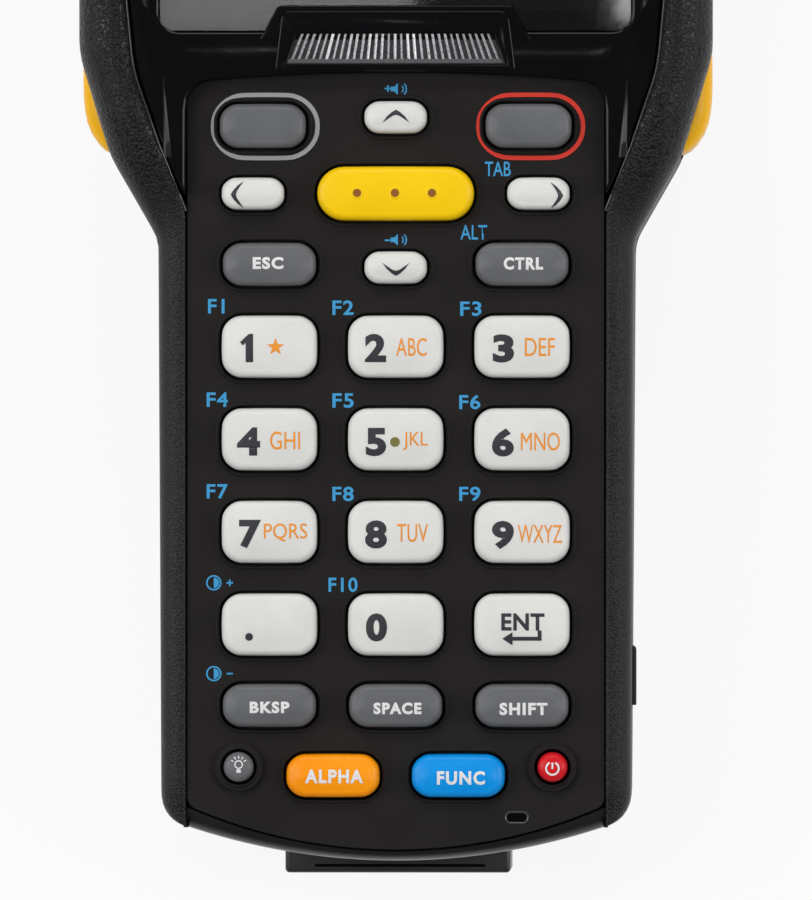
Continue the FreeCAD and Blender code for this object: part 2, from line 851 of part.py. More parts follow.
def round_key(label, x, y):
    body = new_body(label)
    sketch = new_sketch(body, label + "_outline", offset=key_low)
    add_circle(sketch, x, up(y), "round_dia / 2")
    pad(body, sketch, f"{key_top} - ({key_low})", label + "_cap")
    round_edges(body, label + "_rim", "top_round", lambda edge: at_level(edge, key_top))
    flange = new_sketch(body, label + "_flange", offset=key_low)
    add_circle(flange, x, up(y), "round_dia / 2 + flange_over + 0.2")
    pad(body, flange, "flange_thick", label + "_flange_pad")
    node(label, body)


KEYS = key_table()
ROUND_KEYS = [("key_light", "-lamp_out", "lamp_up"), ("key_power", "lamp_out", "lamp_up")]
for entry in KEYS:
    key(*entry)
for entry in ROUND_KEYS:
    round_key(*entry)

# Keypad panel
panel = new_body("keypad_panel")
outline = new_sketch(panel, "panel_outline", offset="seat_z")
add_loop(outline, panel_outline())
pad(panel, outline, "panel_thick", "panel_pad")
panel_corner_rounds(panel, "panel_round")
collars = new_sketch(panel, "panel_collars", offset="seat_z")
for label, x, y in ROUND_KEYS:
    add_circle(collars, x, up(y), "collar_half")
pad(panel, collars, "panel_thick + collar_tall", "panel_collar_pad")
hole_blocks = []
hole_corners = []
panel_high = "seat_z + panel_thick + collar_tall"
for label, x, y, shape in KEYS:
    corners = barrel(x, up(y), f"{shape}_wide", f"{shape}_tall", "key_gap")
    low, high = corners[0], corners[2]
    hole_blocks.append(block(f"hole_{label}", low[0], high[0], low[1], high[1],
                             "seat_z - 1", panel_high + " + 1"))
    hole_corners += [(num(cx), num(cy), num(f"{ROUNDS[shape]} + key_gap / 2"))
                     for cx, cy in corners]
for label, x, y in ROUND_KEYS:
    hole_blocks.append(rod(f"hole_{label}", "round_dia / 2 + key_gap", "10", x, up(y),
                           "seat_z - 1"))
hole_blocks.append(block("hole_mic", "mic_out - mic_slot_wide / 2",
                         "mic_out + mic_slot_wide / 2", up("mic_up - mic_slot_tall / 2"),
                         up("mic_up + mic_slot_tall / 2"), "seat_z - 1", panel_high))
panel_cut = less("panel_cut", panel, joined("panel_hole_blocks", hole_blocks))
doc.recompute()
rounding = doc.addObject("Part::Fillet", "panel_hole_rounds")
rounding.Base = panel_cut
rounded = []
for index, edge in enumerate(panel_cut.Shape.Edges):
    if upright(edge):
        point = edge.Vertexes[0].Point
        rounded += [(index + 1, radius, radius) for cx, cy, radius in hole_corners
                    if math.hypot(point.x - cx, point.y - cy) < 0.05]
rounding.Edges = rounded
doc.recompute()
node("keypad_panel", rounding)

# Under the keys
membrane_top = f"{key_low} - membrane_drop"
node("keypad_membrane", block(
    "membrane", "-panel_half + 2.3", "panel_half - 2.3", up("panel_low_up + 1.8"),
    up("panel_high_up - 1.8"), f"{membrane_top} - membrane_thick", membrane_top))
node("keypad_board", block(
    "key_board", "-panel_half + 0.3", "panel_half - 0.3", up("panel_low_up + 3"),
    up("panel_high_up - 0.5"), f"{membrane_top} - membrane_thick - board_thick",
    f"{membrane_top} - membrane_thick"))
node("main_board", block(
    "board", "-main_half", "main_half", up("main_low_up"), up("main_high_up"), "split_z",
    "split_z + main_thick"))
board_top = "split_z + main_thick"
node("speaker", rod("beeper", "speaker_half", "speaker_tall", "-speaker_out",
                    up("speaker_up"), board_top))
node("microphone", block(
    "mic", "mic_out - mic_wide / 2", "mic_out + mic_wide / 2", up("mic_up - mic_tall / 2"),
    up("mic_up + mic_tall / 2"), "ceiling_z + 0.2", "seat_z"))

# Triggers at both sides, and the switches behind them
switch_blocks = []
for label, way in (("trigger_right", ""), ("trigger_left", "-1 * ")):
    body = new_body(label)
    bar = new_sketch(body, label + "_bar", offset="trigger_low_z")
    add_loop(bar, [(f"{way}({x})", up(y)) for x, y in (
        ("trigger_in", "trigger_low_up"), ("trigger_foot_half", "trigger_low_up"),
        ("trigger_half", "trigger_bend_up"), ("trigger_half", "trigger_high_up"),
        ("trigger_in", "trigger_high_up"))])
    pad(body, bar, "trigger_high_z - trigger_low_z", label + "_bar_pad")
    foot = sides("trigger_foot_half", up("trigger_low_up"))
    bend = sides("trigger_half", up("trigger_bend_up")) + foot
    round_edges(body, label + "_rounds", "trigger_round",
                lambda edge: near(edge, bend + sides("trigger_half", up("trigger_high_up"))))
    lip = new_sketch(body, label + "_lip", offset="trigger_low_z - lip_over")
    add_box(lip, f"{way}trigger_in", f"{way}lip_in", up("lip_low_up"),
            up("trigger_high_up + lip_over"))
    pad(body, lip, "trigger_high_z - trigger_low_z + 2 * lip_over", label + "_lip_pad")
    node(label, body)
    reach = "trigger_in - trigger_travel - 0.3"
    if way:
        x_low, x_high = f"-({reach})", f"-({reach} - switch_deep)"
    else:
        x_low, x_high = f"{reach} - switch_deep", reach
    switch_blocks.append(block(label + "_switch", x_low, x_high,
                               up("switch_up - switch_long / 2"),
                               up("switch_up + switch_long / 2"), "split_z",
                               "split_z + switch_tall"))
node("trigger_switches", joined("switches", switch_blocks))

# Scan turret under the head, turning on a post from the front housing
turret_low = "0"
turret_high = "split_z - turret_gap"
turret_y = up("turret_up")
drum = rod("turret_drum", "turret_half", turret_high, "0", turret_y, turret_low)
facet = block("turret_facet", "-turret_half", "turret_half",
              f"{turret_y} + facet_out", f"{turret_y} + turret_half + 1", "-1", turret_high + " + 1")
port = block("turret_port", "-port_half", "port_half", f"{turret_y} + port_back",
             f"{turret_y} + facet_out + 1", "port_low_z", "port_high_z")
pane_seat = block("turret_pane_seat", "-pane_half - fit_gap", "pane_half + fit_gap",
                  f"{turret_y} + facet_out - pane_thick - 0.2", f"{turret_y} + facet_out + 1",
                  "port_low_z - pane_over - fit_gap", "port_high_z + pane_over + fit_gap")
bore = rod("turret_bore", "pivot_half + pivot_run", turret_high, "0", turret_y, "0")
counter = rod("turret_counter", "counter_half", "shelf_z", "0", turret_y, "0")
shell = less("turret_cut", drum, joined("turret_cuts", [facet, port, pane_seat, bore, counter]))
node("turret_shell", shell)
node("scan_window", block(
    "pane", "-pane_half", "pane_half", f"{turret_y} + facet_out - pane_thick - 0.1",
    f"{turret_y} + facet_out - 0.1", "port_low_z - pane_over", "port_high_z + pane_over"))
node("scan_engine", block(
    "engine", "-port_half + engine_gap", "port_half - engine_gap",
    f"{turret_y} + port_back + engine_gap",
    f"{turret_y} + port_back + engine_gap + engine_deep", "port_low_z + engine_gap",
    "port_high_z - engine_gap"))
post_low = "shelf_z - head_run"
post = rod("pivot_post", "pivot_half", f"split_z + floor_thick - ({post_low})", "0", turret_y,
           post_low)
collar = rod("pivot_flange", "pivot_flange_half", "pivot_flange_thick", "0", turret_y,
             "split_z + floor_thick")
stem_hole = rod("pivot_stem_hole", "stem_half + screw_hole_gap", "stem_long + 0.3", "0",
                turret_y, post_low)
node("turret_pivot", less("pivot", joined("pivot_solid", [post, collar]), stem_hole))
stem = rod("turret_screw_stem", "stem_half", "stem_long", "0", turret_y, post_low)
screw_head = rod("turret_screw_head", "head_half", f"{post_low} - head_low_z", "0", turret_y,
                 "head_low_z")
node("turret_screw", joined("turret_screw_solid", [stem, screw_head]))

# Battery, its contacts and its hinged cover
node("battery_pack", block(
    "cells", "-bay_half + cell_gap", "bay_half - cell_gap", up("bay_low_up + cell_gap"),
    up("bay_high_up - cell_gap"), "back_z + cover_thick + 0.4", "bay_high_z - cell_gap"))
node("battery_contacts", block(
    "contacts", "-contact_half", "contact_half", up("bay_high_up - 0.1"),
    up("bay_high_up + contact_deep"), "contact_low_z", "contact_high_z"))
cover = new_body("battery_cover")
outline = new_sketch(cover, "cover_outline", offset="back_z")
add_box(outline, "-cover_half", "cover_half", up("cover_low_up"),
        up("hinge_up - knuckle_half - knuckle_gap"))
pad(cover, outline, "cover_thick", "cover_pad")
arms = new_sketch(cover, "cover_arms", offset="back_z")
for way in ("", "-1 * "):
    add_box(arms, f"{way}knuckle_in", f"{way}knuckle_out", up("cover_high_up - 2"),
            up("hinge_up"))
pad(cover, arms, "cover_thick", "cover_arm_pad")
for side, start in (("right", "knuckle_in"), ("left", "-knuckle_out")):
    barrel_end = new_sketch(cover, f"cover_knuckle_{side}", "YZ_Plane", start)
    add_circle(barrel_end, up("hinge_up"), "hinge_z", "knuckle_half")
    pad(cover, barrel_end, "knuckle_out - knuckle_in", f"cover_knuckle_{side}_pad")
pin_bore = new_sketch(cover, "cover_pin_bore", "YZ_Plane", "-knuckle_out")
add_circle(pin_bore, up("hinge_up"), "hinge_z", "pin_half + pin_run")
pocket(cover, pin_bore, "2 * knuckle_out", "cover_pin_bore_cut")
button_slot = new_sketch(cover, "cover_button_slot", offset="back_z")
add_box(button_slot, "-button_half - latch_gap", "button_half + latch_gap",
        up("button_low_up - latch_travel - latch_gap"),
        up("button_low_up + button_long + latch_gap"))
pocket(cover, button_slot, "cover_thick", "cover_button_slot_cut")
node("battery_cover", cover)
node("cover_hinge_pin", rod(
    "hinge_pin", "pin_half", "2 * (knuckle_out + knuckle_gap + pin_seat) - 0.4",
    "-knuckle_out - knuckle_gap - pin_seat + 0.2", up("hinge_up"), "hinge_z", "x"))
slide_low = "back_z + cover_thick + latch_gap"
button = block("latch_button", "-button_half", "button_half", up("button_low_up"),
               up("button_low_up + button_long"), "back_z - button_out", slide_low)
slide = block("latch_slide", "-slide_half", "slide_half",
              up("button_low_up + button_long / 2 - slide_long / 2"),
              up("button_low_up + button_long / 2 + slide_long / 2"), slide_low,
              f"{slide_low} + slide_thick")
tongue = block("latch_tongue", "-tongue_half", "tongue_half", up("tongue_tip_up"),
               up("button_low_up"), slide_low, f"{slide_low} + slide_thick")
node("cover_latch", joined("latch", [button, slide, tongue]))

# Heel pad, dock and headset jack
node("heel_pad", block(
    "foot", "-heel_half + pad_inset", "heel_half - pad_inset", up("heel_low_up + pad_inset"),
    up("heel_high_up - pad_inset"), "0", "pad_thick"))
shroud = new_body("dock_shroud")
outline = new_sketch(shroud, "shroud_outline", "XZ_Plane", "overall_long / 2 - dock_deep")
add_box(outline, "-dock_half", "dock_half", "dock_low_z", "dock_high_z")
pad(shroud, outline, "dock_deep", "shroud_pad")
mouth = new_sketch(shroud, "shroud_mouth", "XZ_Plane", "overall_long / 2 - dock_deep")
add_box(mouth, "-dock_half + dock_wall", "dock_half - dock_wall", "dock_low_z + dock_wall - 0.4",
        "dock_high_z - dock_wall + 0.4")
pocket(shroud, mouth, "dock_deep", "shroud_mouth_cut")
node("dock_shroud", shroud)
node("dock_connector", block(
    "dock_contacts", "-dock_half + dock_wall + fit_gap", "dock_half - dock_wall - fit_gap",
    up("contact_set_back"), up("contact_set_back + contact_set_deep"),
    "dock_low_z + dock_wall - 0.4 + fit_gap", "dock_high_z - dock_wall + 0.4 - fit_gap"))
jack_body = rod("jack_body", "jack_half", "jack_long", "jack_face - jack_long", up("jack_up"),
                "jack_z", "x")
jack_bore = rod("jack_bore", "jack_bore_half", "jack_bore_long + 1",
                "jack_face - jack_bore_long", up("jack_up"), "jack_z", "x")
node("headset_jack", less("jack", jack_body, jack_bore))
lid_plate = block("lid_plate", "lid_in", "lid_out", up("lid_low_up"), up("lid_high_up"),
                  "jack_z - lid_half_tall", "jack_z + lid_half_tall")
lid_barrel = rod("lid_barrel", "(lid_out - lid_in) / 2", "2 * lid_half_tall",
                 "(lid_in + lid_out) / 2", up("lid_high_up"), "jack_z - lid_half_tall")
node("jack_cover", joined("lid", [lid_plate, lid_barrel]))

# Housing screws
screws = []
for index, (x, y) in enumerate(screw_places()):
    head_z = "back_z + screw_sink"
    screws.append(rod(f"screw_{index}_shank", "screw_half", f"boss_top_z - 2 - ({head_z})", x, y,
                      head_z))
    screws.append(rod(f"screw_{index}_head", "screw_head_half", "screw_head_tall", x, y,
                      f"{head_z} - screw_head_tall"))
node("housing_screws", joined("screws", screws))

doc.recompute()
for item in doc.Objects:
    if "Invalid" in item.State or "Error" in item.State:
        raise RuntimeError(f"{item.Name} is in state {item.State}")
os.makedirs("parts", exist_ok=True)
for label, thing in nodes.items():
    shape = thing.Shape
    if shape.isNull() or not shape.isValid():
        raise RuntimeError(f"{label} has no valid shape")
    shape.exportStep(f"parts/{label}.step")
    print(label, len(shape.Solids), round(shape.Volume, 1))
print(len(nodes), "nodes")
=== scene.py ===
# %% [markdown]
# # A handheld data terminal, dressed for its photograph
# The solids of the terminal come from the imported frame: every key, lid and
# trigger is already in its place and rides its own body. This lesson adds the
# moulded skins, key caps, printing and finishes that the eye looks for.

# %% Load the frame
import bpy
import math
import bmesh
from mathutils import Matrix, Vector, noise


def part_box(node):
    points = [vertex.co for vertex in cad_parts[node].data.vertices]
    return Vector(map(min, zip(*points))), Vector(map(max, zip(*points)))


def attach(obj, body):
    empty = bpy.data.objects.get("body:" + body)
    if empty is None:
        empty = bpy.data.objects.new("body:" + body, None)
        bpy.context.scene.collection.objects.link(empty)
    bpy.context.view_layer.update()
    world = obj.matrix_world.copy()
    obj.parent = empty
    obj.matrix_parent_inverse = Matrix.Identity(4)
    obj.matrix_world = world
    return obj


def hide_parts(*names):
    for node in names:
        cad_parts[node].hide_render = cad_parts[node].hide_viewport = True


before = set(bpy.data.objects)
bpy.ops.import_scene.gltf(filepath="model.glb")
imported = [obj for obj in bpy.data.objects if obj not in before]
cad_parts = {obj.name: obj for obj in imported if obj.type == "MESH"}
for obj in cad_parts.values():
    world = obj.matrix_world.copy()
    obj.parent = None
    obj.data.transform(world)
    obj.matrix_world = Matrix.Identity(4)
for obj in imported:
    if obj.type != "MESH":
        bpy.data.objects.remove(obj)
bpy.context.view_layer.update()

# %% [markdown]
# Drawings of such a terminal are in millimetres, measured from its lower end.
# Blender works in metres from the middle, so two small helpers convert.

# %% Units and levels
MM = 0.001
HALF_LONG = 95.2
PANEL_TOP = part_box("keypad_panel")[1].z - 0.8 * MM
RAIL_TOP = 39.6
CREST_TOP = 43.4
SEAT = 37.4
SPLIT = 22.0


def row_y(up):
    """Metres along Y of a height in millimetres above the lower end."""
    return (up - HALF_LONG) * MM


def smooth(value, low, high):
    """0 below low, 1 above high, and an easy ramp between."""
    part = min(max((value - low) / (high - low), 0), 1)
    return part * part * (3 - 2 * part)


print("panel top", round(PANEL_TOP / MM, 2), "mm")

# %% [markdown]
# ## Camera
# The terminal was photographed from straight above with a long lens, a little
# to its right. The camera hangs high over the keys and turns back a little to
# keep the framing of the photograph, which crops the upper end.

# %% Camera above the keypad
KEY_LEVEL = 0.0412
CAMERA_RISE = 2.0
VIEW_TALL = 114.3 * MM
VIEW_X = 1.36 * MM
VIEW_Y = row_y(54.1)
SIDE_STEP = 48 * MM
camera_data = bpy.data.cameras.new("camera")
camera = bpy.data.objects.new("camera", camera_data)
bpy.context.scene.collection.objects.link(camera)
camera.location = (VIEW_X + SIDE_STEP, VIEW_Y, KEY_LEVEL + CAMERA_RISE)
camera.rotation_euler = (0, math.atan(SIDE_STEP / CAMERA_RISE), 0)
camera_data.sensor_fit = "VERTICAL"
camera_data.sensor_height = 36
camera_data.lens = 36 * CAMERA_RISE / VIEW_TALL
camera_data.clip_start = 0.01
bpy.context.scene.camera = camera
print("lens", round(camera_data.lens), "mm")

# %% [markdown]
# ## Shader helpers
# A finish is a chain of small sums. One class wraps a socket so that the sums
# read as arithmetic, and one method makes every other node.

# %% Sockets that add up
class Value:
    """A socket with arithmetic."""

    def __init__(self, finish, socket):
        self.finish = finish
        self.socket = socket

    def maths(self, operation, *others):
        node = self.finish.add("ShaderNodeMath", {"operation": operation}, *others)
        return Value(self.finish, node.outputs[0])

    def __add__(self, other):
        return self.maths("ADD", self, other)

    def __sub__(self, other):
        return self.maths("SUBTRACT", self, other)

    def __mul__(self, other):
        return self.maths("MULTIPLY", self, other)

    def __rsub__(self, other):
        return self.maths("SUBTRACT", other, self)

    __radd__ = __add__
    __rmul__ = __mul__


class Finish:
    """One material, its shader and the nodes that feed it."""

    def __init__(self, name, **constants):
        self.material = bpy.data.materials.new(name)
        self.material.use_nodes = True
        self.nodes = self.material.node_tree.nodes
        self.links = self.material.node_tree.links
        self.shader = self.nodes["Principled BSDF"]
        for socket, value in constants.items():
            self.shader.inputs[socket.replace("_", " ")].default_value = value
        self.place = self.add("ShaderNodeTexCoord", {}).outputs["Object"]

    def add(self, kind, settings, *values, **named):
        node = self.nodes.new(kind)
        for setting, value in settings.items():
            setattr(node, setting, value)
        for index, value in list(enumerate(values)) + list(named.items()):
            self.feed(node.inputs[index.replace("_", " ") if isinstance(index, str) else index],
                      value)
        return node

    def feed(self, socket, value):
        if isinstance(value, Value):
            value = value.socket
        if isinstance(value, bpy.types.NodeSocket):
            self.links.new(value, socket)
        elif value is not None:
            socket.default_value = value

    def grain(self, per_mm, detail=2.0, roughness=0.5):
        """Cloudy noise, 0 to 1, with about this many blobs to a millimetre."""
        node = self.add("ShaderNodeTexNoise", {}, Vector=self.place, Scale=per_mm / MM,
                        Detail=detail, Roughness=roughness)
        return Value(self, node.outputs["Fac"])

    def between(self, value, low, high, to_low=0.0, to_high=1.0):
        """Stretch a part of a value's range to another range."""
        node = self.add("ShaderNodeMapRange", {"clamp": True}, value, low, high, to_low, to_high)
        return Value(self, node.outputs[0])

    def mix(self, share, first, second):
        node = self.add("ShaderNodeMix", {"data_type": "RGBA"})
        self.feed(node.inputs["Factor"], share)
        self.feed(node.inputs["A"], first)
        self.feed(node.inputs["B"], second)
        return node.outputs[2]

    def paint(self, socket, value):
        self.feed(self.shader.inputs[socket], value)

    def bump(self, height, depth_mm, strength=1.0):
        node = self.add("ShaderNodeBump", {}, Strength=strength, Distance=depth_mm * MM,
                        Height=height)
        self.paint("Normal", node.outputs[0])


def rgb(red, green, blue):
    """8-bit screen colour as scene-linear values."""
    def linear(part):
        part /= 255
        return part / 12.92 if part <= 0.04045 else ((part + 0.055) / 1.055) ** 2.4
    return (linear(red), linear(green), linear(blue), 1)


print("shader helpers ready")

# %% [markdown]
# ## Finishes
# Moulded plastic is never one flat colour. Spark-eroded moulds leave a fine
# pebble grain, handling polishes it in clouds, and fine dust lightens it. Each
# finish mixes two near colours by a cloud, and lets grain drive roughness and bump.

# %% Plastics
def moulded(name, dark, light, rough_low, rough_high, grain_per_mm, depth_mm, cloud=0.12,
            **constants):
    finish = Finish(name, **constants)
    clouds = finish.grain(cloud, 4.0)
    grain = finish.grain(grain_per_mm, 3.0)
    finish.paint("Base Color", finish.mix(finish.between(clouds + grain * 0.5, 0.45, 1.0),
                                          dark, light))
    finish.paint("Roughness", finish.between(clouds + grain, 0.6, 1.4, rough_low, rough_high))
    finish.bump(grain, depth_mm)
    return finish.material


PANEL = moulded("panel_matte", rgb(27, 25, 24), rgb(34, 31, 30), 0.5, 0.66, 7, 0.02,
                Specular_IOR_Level=0.12)
SMOOTH_BLACK = moulded("smooth_black", rgb(20, 20, 21), rgb(28, 28, 30), 0.26, 0.38, 6, 0.008,
                       Specular_IOR_Level=0.3)
REAR = moulded("rear_grain", rgb(22, 22, 23), rgb(34, 34, 35), 0.42, 0.6, 2.6, 0.08,
               Specular_IOR_Level=0.3)
GLOSS = moulded("bezel_gloss", rgb(3, 3, 4), rgb(6, 6, 8), 0.08, 0.16, 0.8, 0.004,
                Specular_IOR_Level=0.2)
DOCK = moulded("dock_black", rgb(34, 34, 36), rgb(42, 42, 45), 0.3, 0.42, 6, 0.008)
TRIGGER = moulded("trigger_yellow", rgb(250, 178, 0), rgb(255, 192, 0), 0.32, 0.45, 5, 0.006,
                  Specular_IOR_Level=0.25)
# Dark grey painted shade for the plate under the badge ribs, in place of the silver foil.
RIB_SHADE_GREY = moulded("painted_rib_shade", rgb(34, 35, 36), rgb(58, 59, 60), 0.2, 0.35, 2.5, 0.01)
# Lighter grey as a painted highlight on the black seam edges and on the microphone slot's bead.
HIGHLIGHT_GREY = moulded("painted_highlight_grey", rgb(52, 52, 54), rgb(64, 64, 66), 0.2, 0.3, 5, 0.004)
WHITE_KEY = moulded("white_key", rgb(212, 211, 206), rgb(226, 225, 221), 0.3, 0.42, 5, 0.006,
            Specular_IOR_Level=0.25)
GREY_KEY = moulded("grey_key", rgb(92, 93, 95), rgb(106, 107, 109), 0.3, 0.42, 5, 0.006,
            Specular_IOR_Level=0.25)
YELLOW = moulded("yellow_plastic", rgb(243, 196, 0), rgb(250, 206, 0), 0.32, 0.45, 5, 0.006,
            Specular_IOR_Level=0.25)
ORANGE_KEY = moulded("orange_key", rgb(250, 146, 0), rgb(255, 157, 4), 0.3, 0.42, 5, 0.006,
            Specular_IOR_Level=0.25)
BLUE_KEY = moulded("blue_key", rgb(0, 140, 222), rgb(4, 150, 230), 0.3, 0.42, 5, 0.006,
            Specular_IOR_Level=0.25)
RED_KEY = moulded("red_key", rgb(206, 20, 30), rgb(218, 30, 38), 0.3, 0.42, 5, 0.006,
            Specular_IOR_Level=0.25)
RUBBER = moulded("soft_rubber", rgb(22, 22, 22), rgb(34, 34, 34), 0.6, 0.8, 4, 0.02)
SILICONE = moulded("silicone_sheet", rgb(30, 30, 31), rgb(40, 40, 41), 0.5, 0.6, 3, 0.01)
BOARD = moulded("board_green", rgb(12, 60, 32), rgb(20, 84, 44), 0.3, 0.45, 1.2, 0.01)
DARK_CASE = moulded("component_case", rgb(30, 30, 32), rgb(44, 44, 46), 0.35, 0.5, 4, 0.01)
STEEL = moulded("plain_steel", rgb(150, 150, 152), rgb(176, 176, 178), 0.25, 0.4, 5, 0.004,
                Metallic=1.0)
GOLD = moulded("gold_contacts", rgb(196, 156, 74), rgb(214, 176, 96), 0.25, 0.38, 5, 0.004,
               Metallic=1.0)
SILVER = moulded("badge_foil", rgb(188, 188, 190), rgb(230, 230, 232), 0.2, 0.35, 2.5, 0.01,
                 Metallic=0.7)
# Near-black used as painted shade: the disc over the microphone hole and the strip on the dock lip.
SHADE_BLACK = moulded("painted_shade_black", rgb(2, 2, 2), rgb(5, 5, 5), 0.8, 0.9, 5, 0.002,
               Specular_IOR_Level=0.05)
LCD = moulded("display_grey", rgb(40, 43, 44), rgb(52, 55, 56), 0.2, 0.3, 3, 0.002)
# All inks are print except the brown one, which is painted shade for the scan key's dimples.
PRINTS = {name: moulded("ink_" + name, colour, colour, 0.4, 0.5, 5, 0.002) for name, colour in (
    ("charcoal", rgb(44, 44, 50)), ("orange", rgb(236, 148, 36)), ("blue", rgb(52, 148, 200)),
    ("white", rgb(226, 226, 226)), ("grey", rgb(150, 152, 153)), ("red", rgb(214, 46, 28)),
    ("olive", rgb(118, 112, 52)), ("brown", rgb(140, 84, 12)))}
print(len(bpy.data.materials), "finishes")


# %% Clear windows
def clear(name, tint, share, roughness):
    """A window that is mostly see-through, with a glossy skin."""
    finish = Finish(name, Roughness=roughness, IOR=1.5)
    haze = finish.grain(0.6, 3.0)
    finish.paint("Base Color", finish.mix(haze, tint, tuple(part * 0.8 for part in tint[:3])
                                          + (1,)))
    finish.paint("Alpha", finish.between(haze, 0, 1, share, share + 0.06))
    finish.material.surface_render_method = "BLENDED"
    return finish.material


WINDOW = clear("display_glass", rgb(10, 11, 12), 0.5, 0.03)
BADGE_CLEAR = clear("badge_clear", rgb(150, 152, 154), 0.22, 0.05)
SCAN_RED = clear("scan_red", rgb(90, 6, 8), 0.75, 0.04)
print("windows ready")

# %% [markdown]
# ## Carried-over solids
# Pieces whose solid already has the right shape keep it and only get a finish.

# %% Finishes for the solids that stay
NODE_FINISH = {
    "rear_housing": REAR, "battery_cover": REAR, "cover_latch": SMOOTH_BLACK,
    "turret_shell": REAR, "scan_window": SCAN_RED, "scan_engine": DARK_CASE,
    "turret_pivot": STEEL, "turret_screw": STEEL, "housing_screws": STEEL,
    "cover_hinge_pin": STEEL, "battery_pack": DARK_CASE, "battery_contacts": GOLD,
    "heel_pad": RUBBER, "jack_cover": RUBBER, "dock_shroud": SMOOTH_BLACK,
    "dock_connector": GOLD, "headset_jack": DARK_CASE, "keypad_panel": PANEL,
    "keypad_membrane": SILICONE, "keypad_board": BOARD, "main_board": BOARD,
    "speaker": DARK_CASE, "microphone": DARK_CASE, "trigger_switches": DARK_CASE,
    "display_window": WINDOW, "lcd_module": LCD, "badge_backing": SILVER}
for label, finish in NODE_FINISH.items():
    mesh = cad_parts[label].data
    mesh.materials.clear()
    mesh.materials.append(finish)
print(len(NODE_FINISH), "solids finished")


# %% [markdown]
# ## Outlines
# Caps, rims and printed rings all follow closed outlines. A key's outline is a
# rounded rectangle whose sides are bowed like a barrel's.

# %% Key outlines
def rounded_box(wide, tall, radius, bow_x=0.0, bow_y=0.0, step=6):
    """Points, in millimetres, once round a box with round corners and bowed sides."""
    points = []
    a, b = wide / 2, tall / 2
    for quarter, (cx, cy) in enumerate(((a - radius, b - radius), (radius - a, b - radius),
                                        (radius - a, radius - b), (a - radius, radius - b))):
        for turn in range(9):
            angle = math.pi / 2 * (quarter + turn / 8)
            points.append((cx + radius * math.cos(angle), cy + radius * math.sin(angle)))
        nx, ny = ((radius - a, b), (-a, radius - b), (a - radius, -b), (a, b - radius))[quarter]
        x, y = points[-1]
        for share in range(1, step):
            points.append((x + (nx - x) * share / step, y + (ny - y) * share / step))
    return [(x * (1 - bow_x * (y / b) ** 2), y * (1 - bow_y * (x / a) ** 2)) for x, y in points]


SHAPES = {"digit": (12.2, 8.0, 2.3, 0.045, 0.02), "word": (11.9, 5.6, 2.1, 0.06, 0.03),
          "soft": (11.0, 5.7, 2.1, 0.05, 0.03), "arrow": (8.0, 4.2, 1.7, 0.05, 0.05),
          "scan": (20.0, 7.0, 3.4, 0.0, 0.02), "round": (3.9, 3.9, 1.94, 0, 0)}
print({shape: len(rounded_box(*form)) for shape, form in SHAPES.items()})


# %% [markdown]
# ## Lofting
# A skin is drawn as rings of equal count, one above another, and quads join
# them. It is how a cap is drawn by hand from its outline: up the wall, round the
# edge and over the crown, which ends in one point.

# %% Rings to a mesh
def new_piece(name, points, faces, material, body):
    mesh = bpy.data.meshes.new(name)
    mesh.from_pydata(points, [], faces)
    mesh.materials.append(material)
    piece = bpy.data.objects.new(name, mesh)
    bpy.context.scene.collection.objects.link(piece)
    work = bmesh.new()
    work.from_mesh(mesh)
    bmesh.ops.recalc_face_normals(work, faces=work.faces)
    work.to_mesh(mesh)
    work.free()
    bpy.ops.object.select_all(action="DESELECT")
    piece.select_set(True)
    bpy.context.view_layer.objects.active = piece
    bpy.ops.object.shade_smooth_by_angle(angle=math.radians(38))
    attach(piece, body)
    return piece


def loft(rings, closed_ring=True, crown=None):
    """Points and quads through rings of equal count, given in metres."""
    count = len(rings[0])
    points = [point for ring in rings for point in ring]
    faces = []
    for level in range(len(rings) - 1):
        above = level + 1
        for index in range(count if closed_ring else count - 1):
            after = (index + 1) % count
            faces.append((level * count + index, level * count + after,
                          above * count + after, above * count + index))
    if crown is not None:
        points.append(crown)
        top = (len(rings) - 1) * count
        faces += [(top + index, top + (index + 1) % count, len(points) - 1)
                  for index in range(count)]
    return points, faces


def ring_at(outline, centre, z_mm, inset=0.0):
    """The outline drawn in by inset and lifted to z, in metres."""
    wide = max(abs(x) for x, y in outline)
    tall = max(abs(y) for x, y in outline)
    sx, sy = (wide - inset) / wide, (tall - inset) / tall
    return [(centre[0] + x * sx * MM, centre[1] + y * sy * MM, z_mm * MM) for x, y in outline]


# %% [markdown]
# ## Key caps
# The digit keys are low cushions: a steep wall, a rounded shoulder and a crown
# that rises a few tenths of a millimetre. Each cap stands where its solid is.

# %% Caps
KEY_SHAPE = {}
for number in range(10):
    KEY_SHAPE[f"key_{number}"] = ("digit", WHITE_KEY)
KEY_SHAPE.update({"key_dot": ("digit", WHITE_KEY), "key_enter": ("digit", WHITE_KEY)})
for word in ("backspace", "space", "shift", "escape", "control"):
    KEY_SHAPE["key_" + word] = ("word", GREY_KEY)
KEY_SHAPE.update({"key_alpha": ("word", ORANGE_KEY), "key_function": ("word", BLUE_KEY),
                  "key_soft_left": ("soft", GREY_KEY), "key_soft_right": ("soft", GREY_KEY),
                  "key_scan": ("scan", YELLOW), "key_light": ("round", GREY_KEY),
                  "key_power": ("round", RED_KEY)})
for way in ("up", "down", "left", "right"):
    KEY_SHAPE["key_" + way] = ("arrow", WHITE_KEY)
EDGE = 0.9
CROWN = {"digit": 0.35, "word": 0.3, "soft": 0.25, "arrow": 0.2, "scan": 0.2, "round": 0.1}


def key_centre(label):
    low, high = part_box(label)
    return ((low.x + high.x) / 2, (low.y + high.y) / 2)


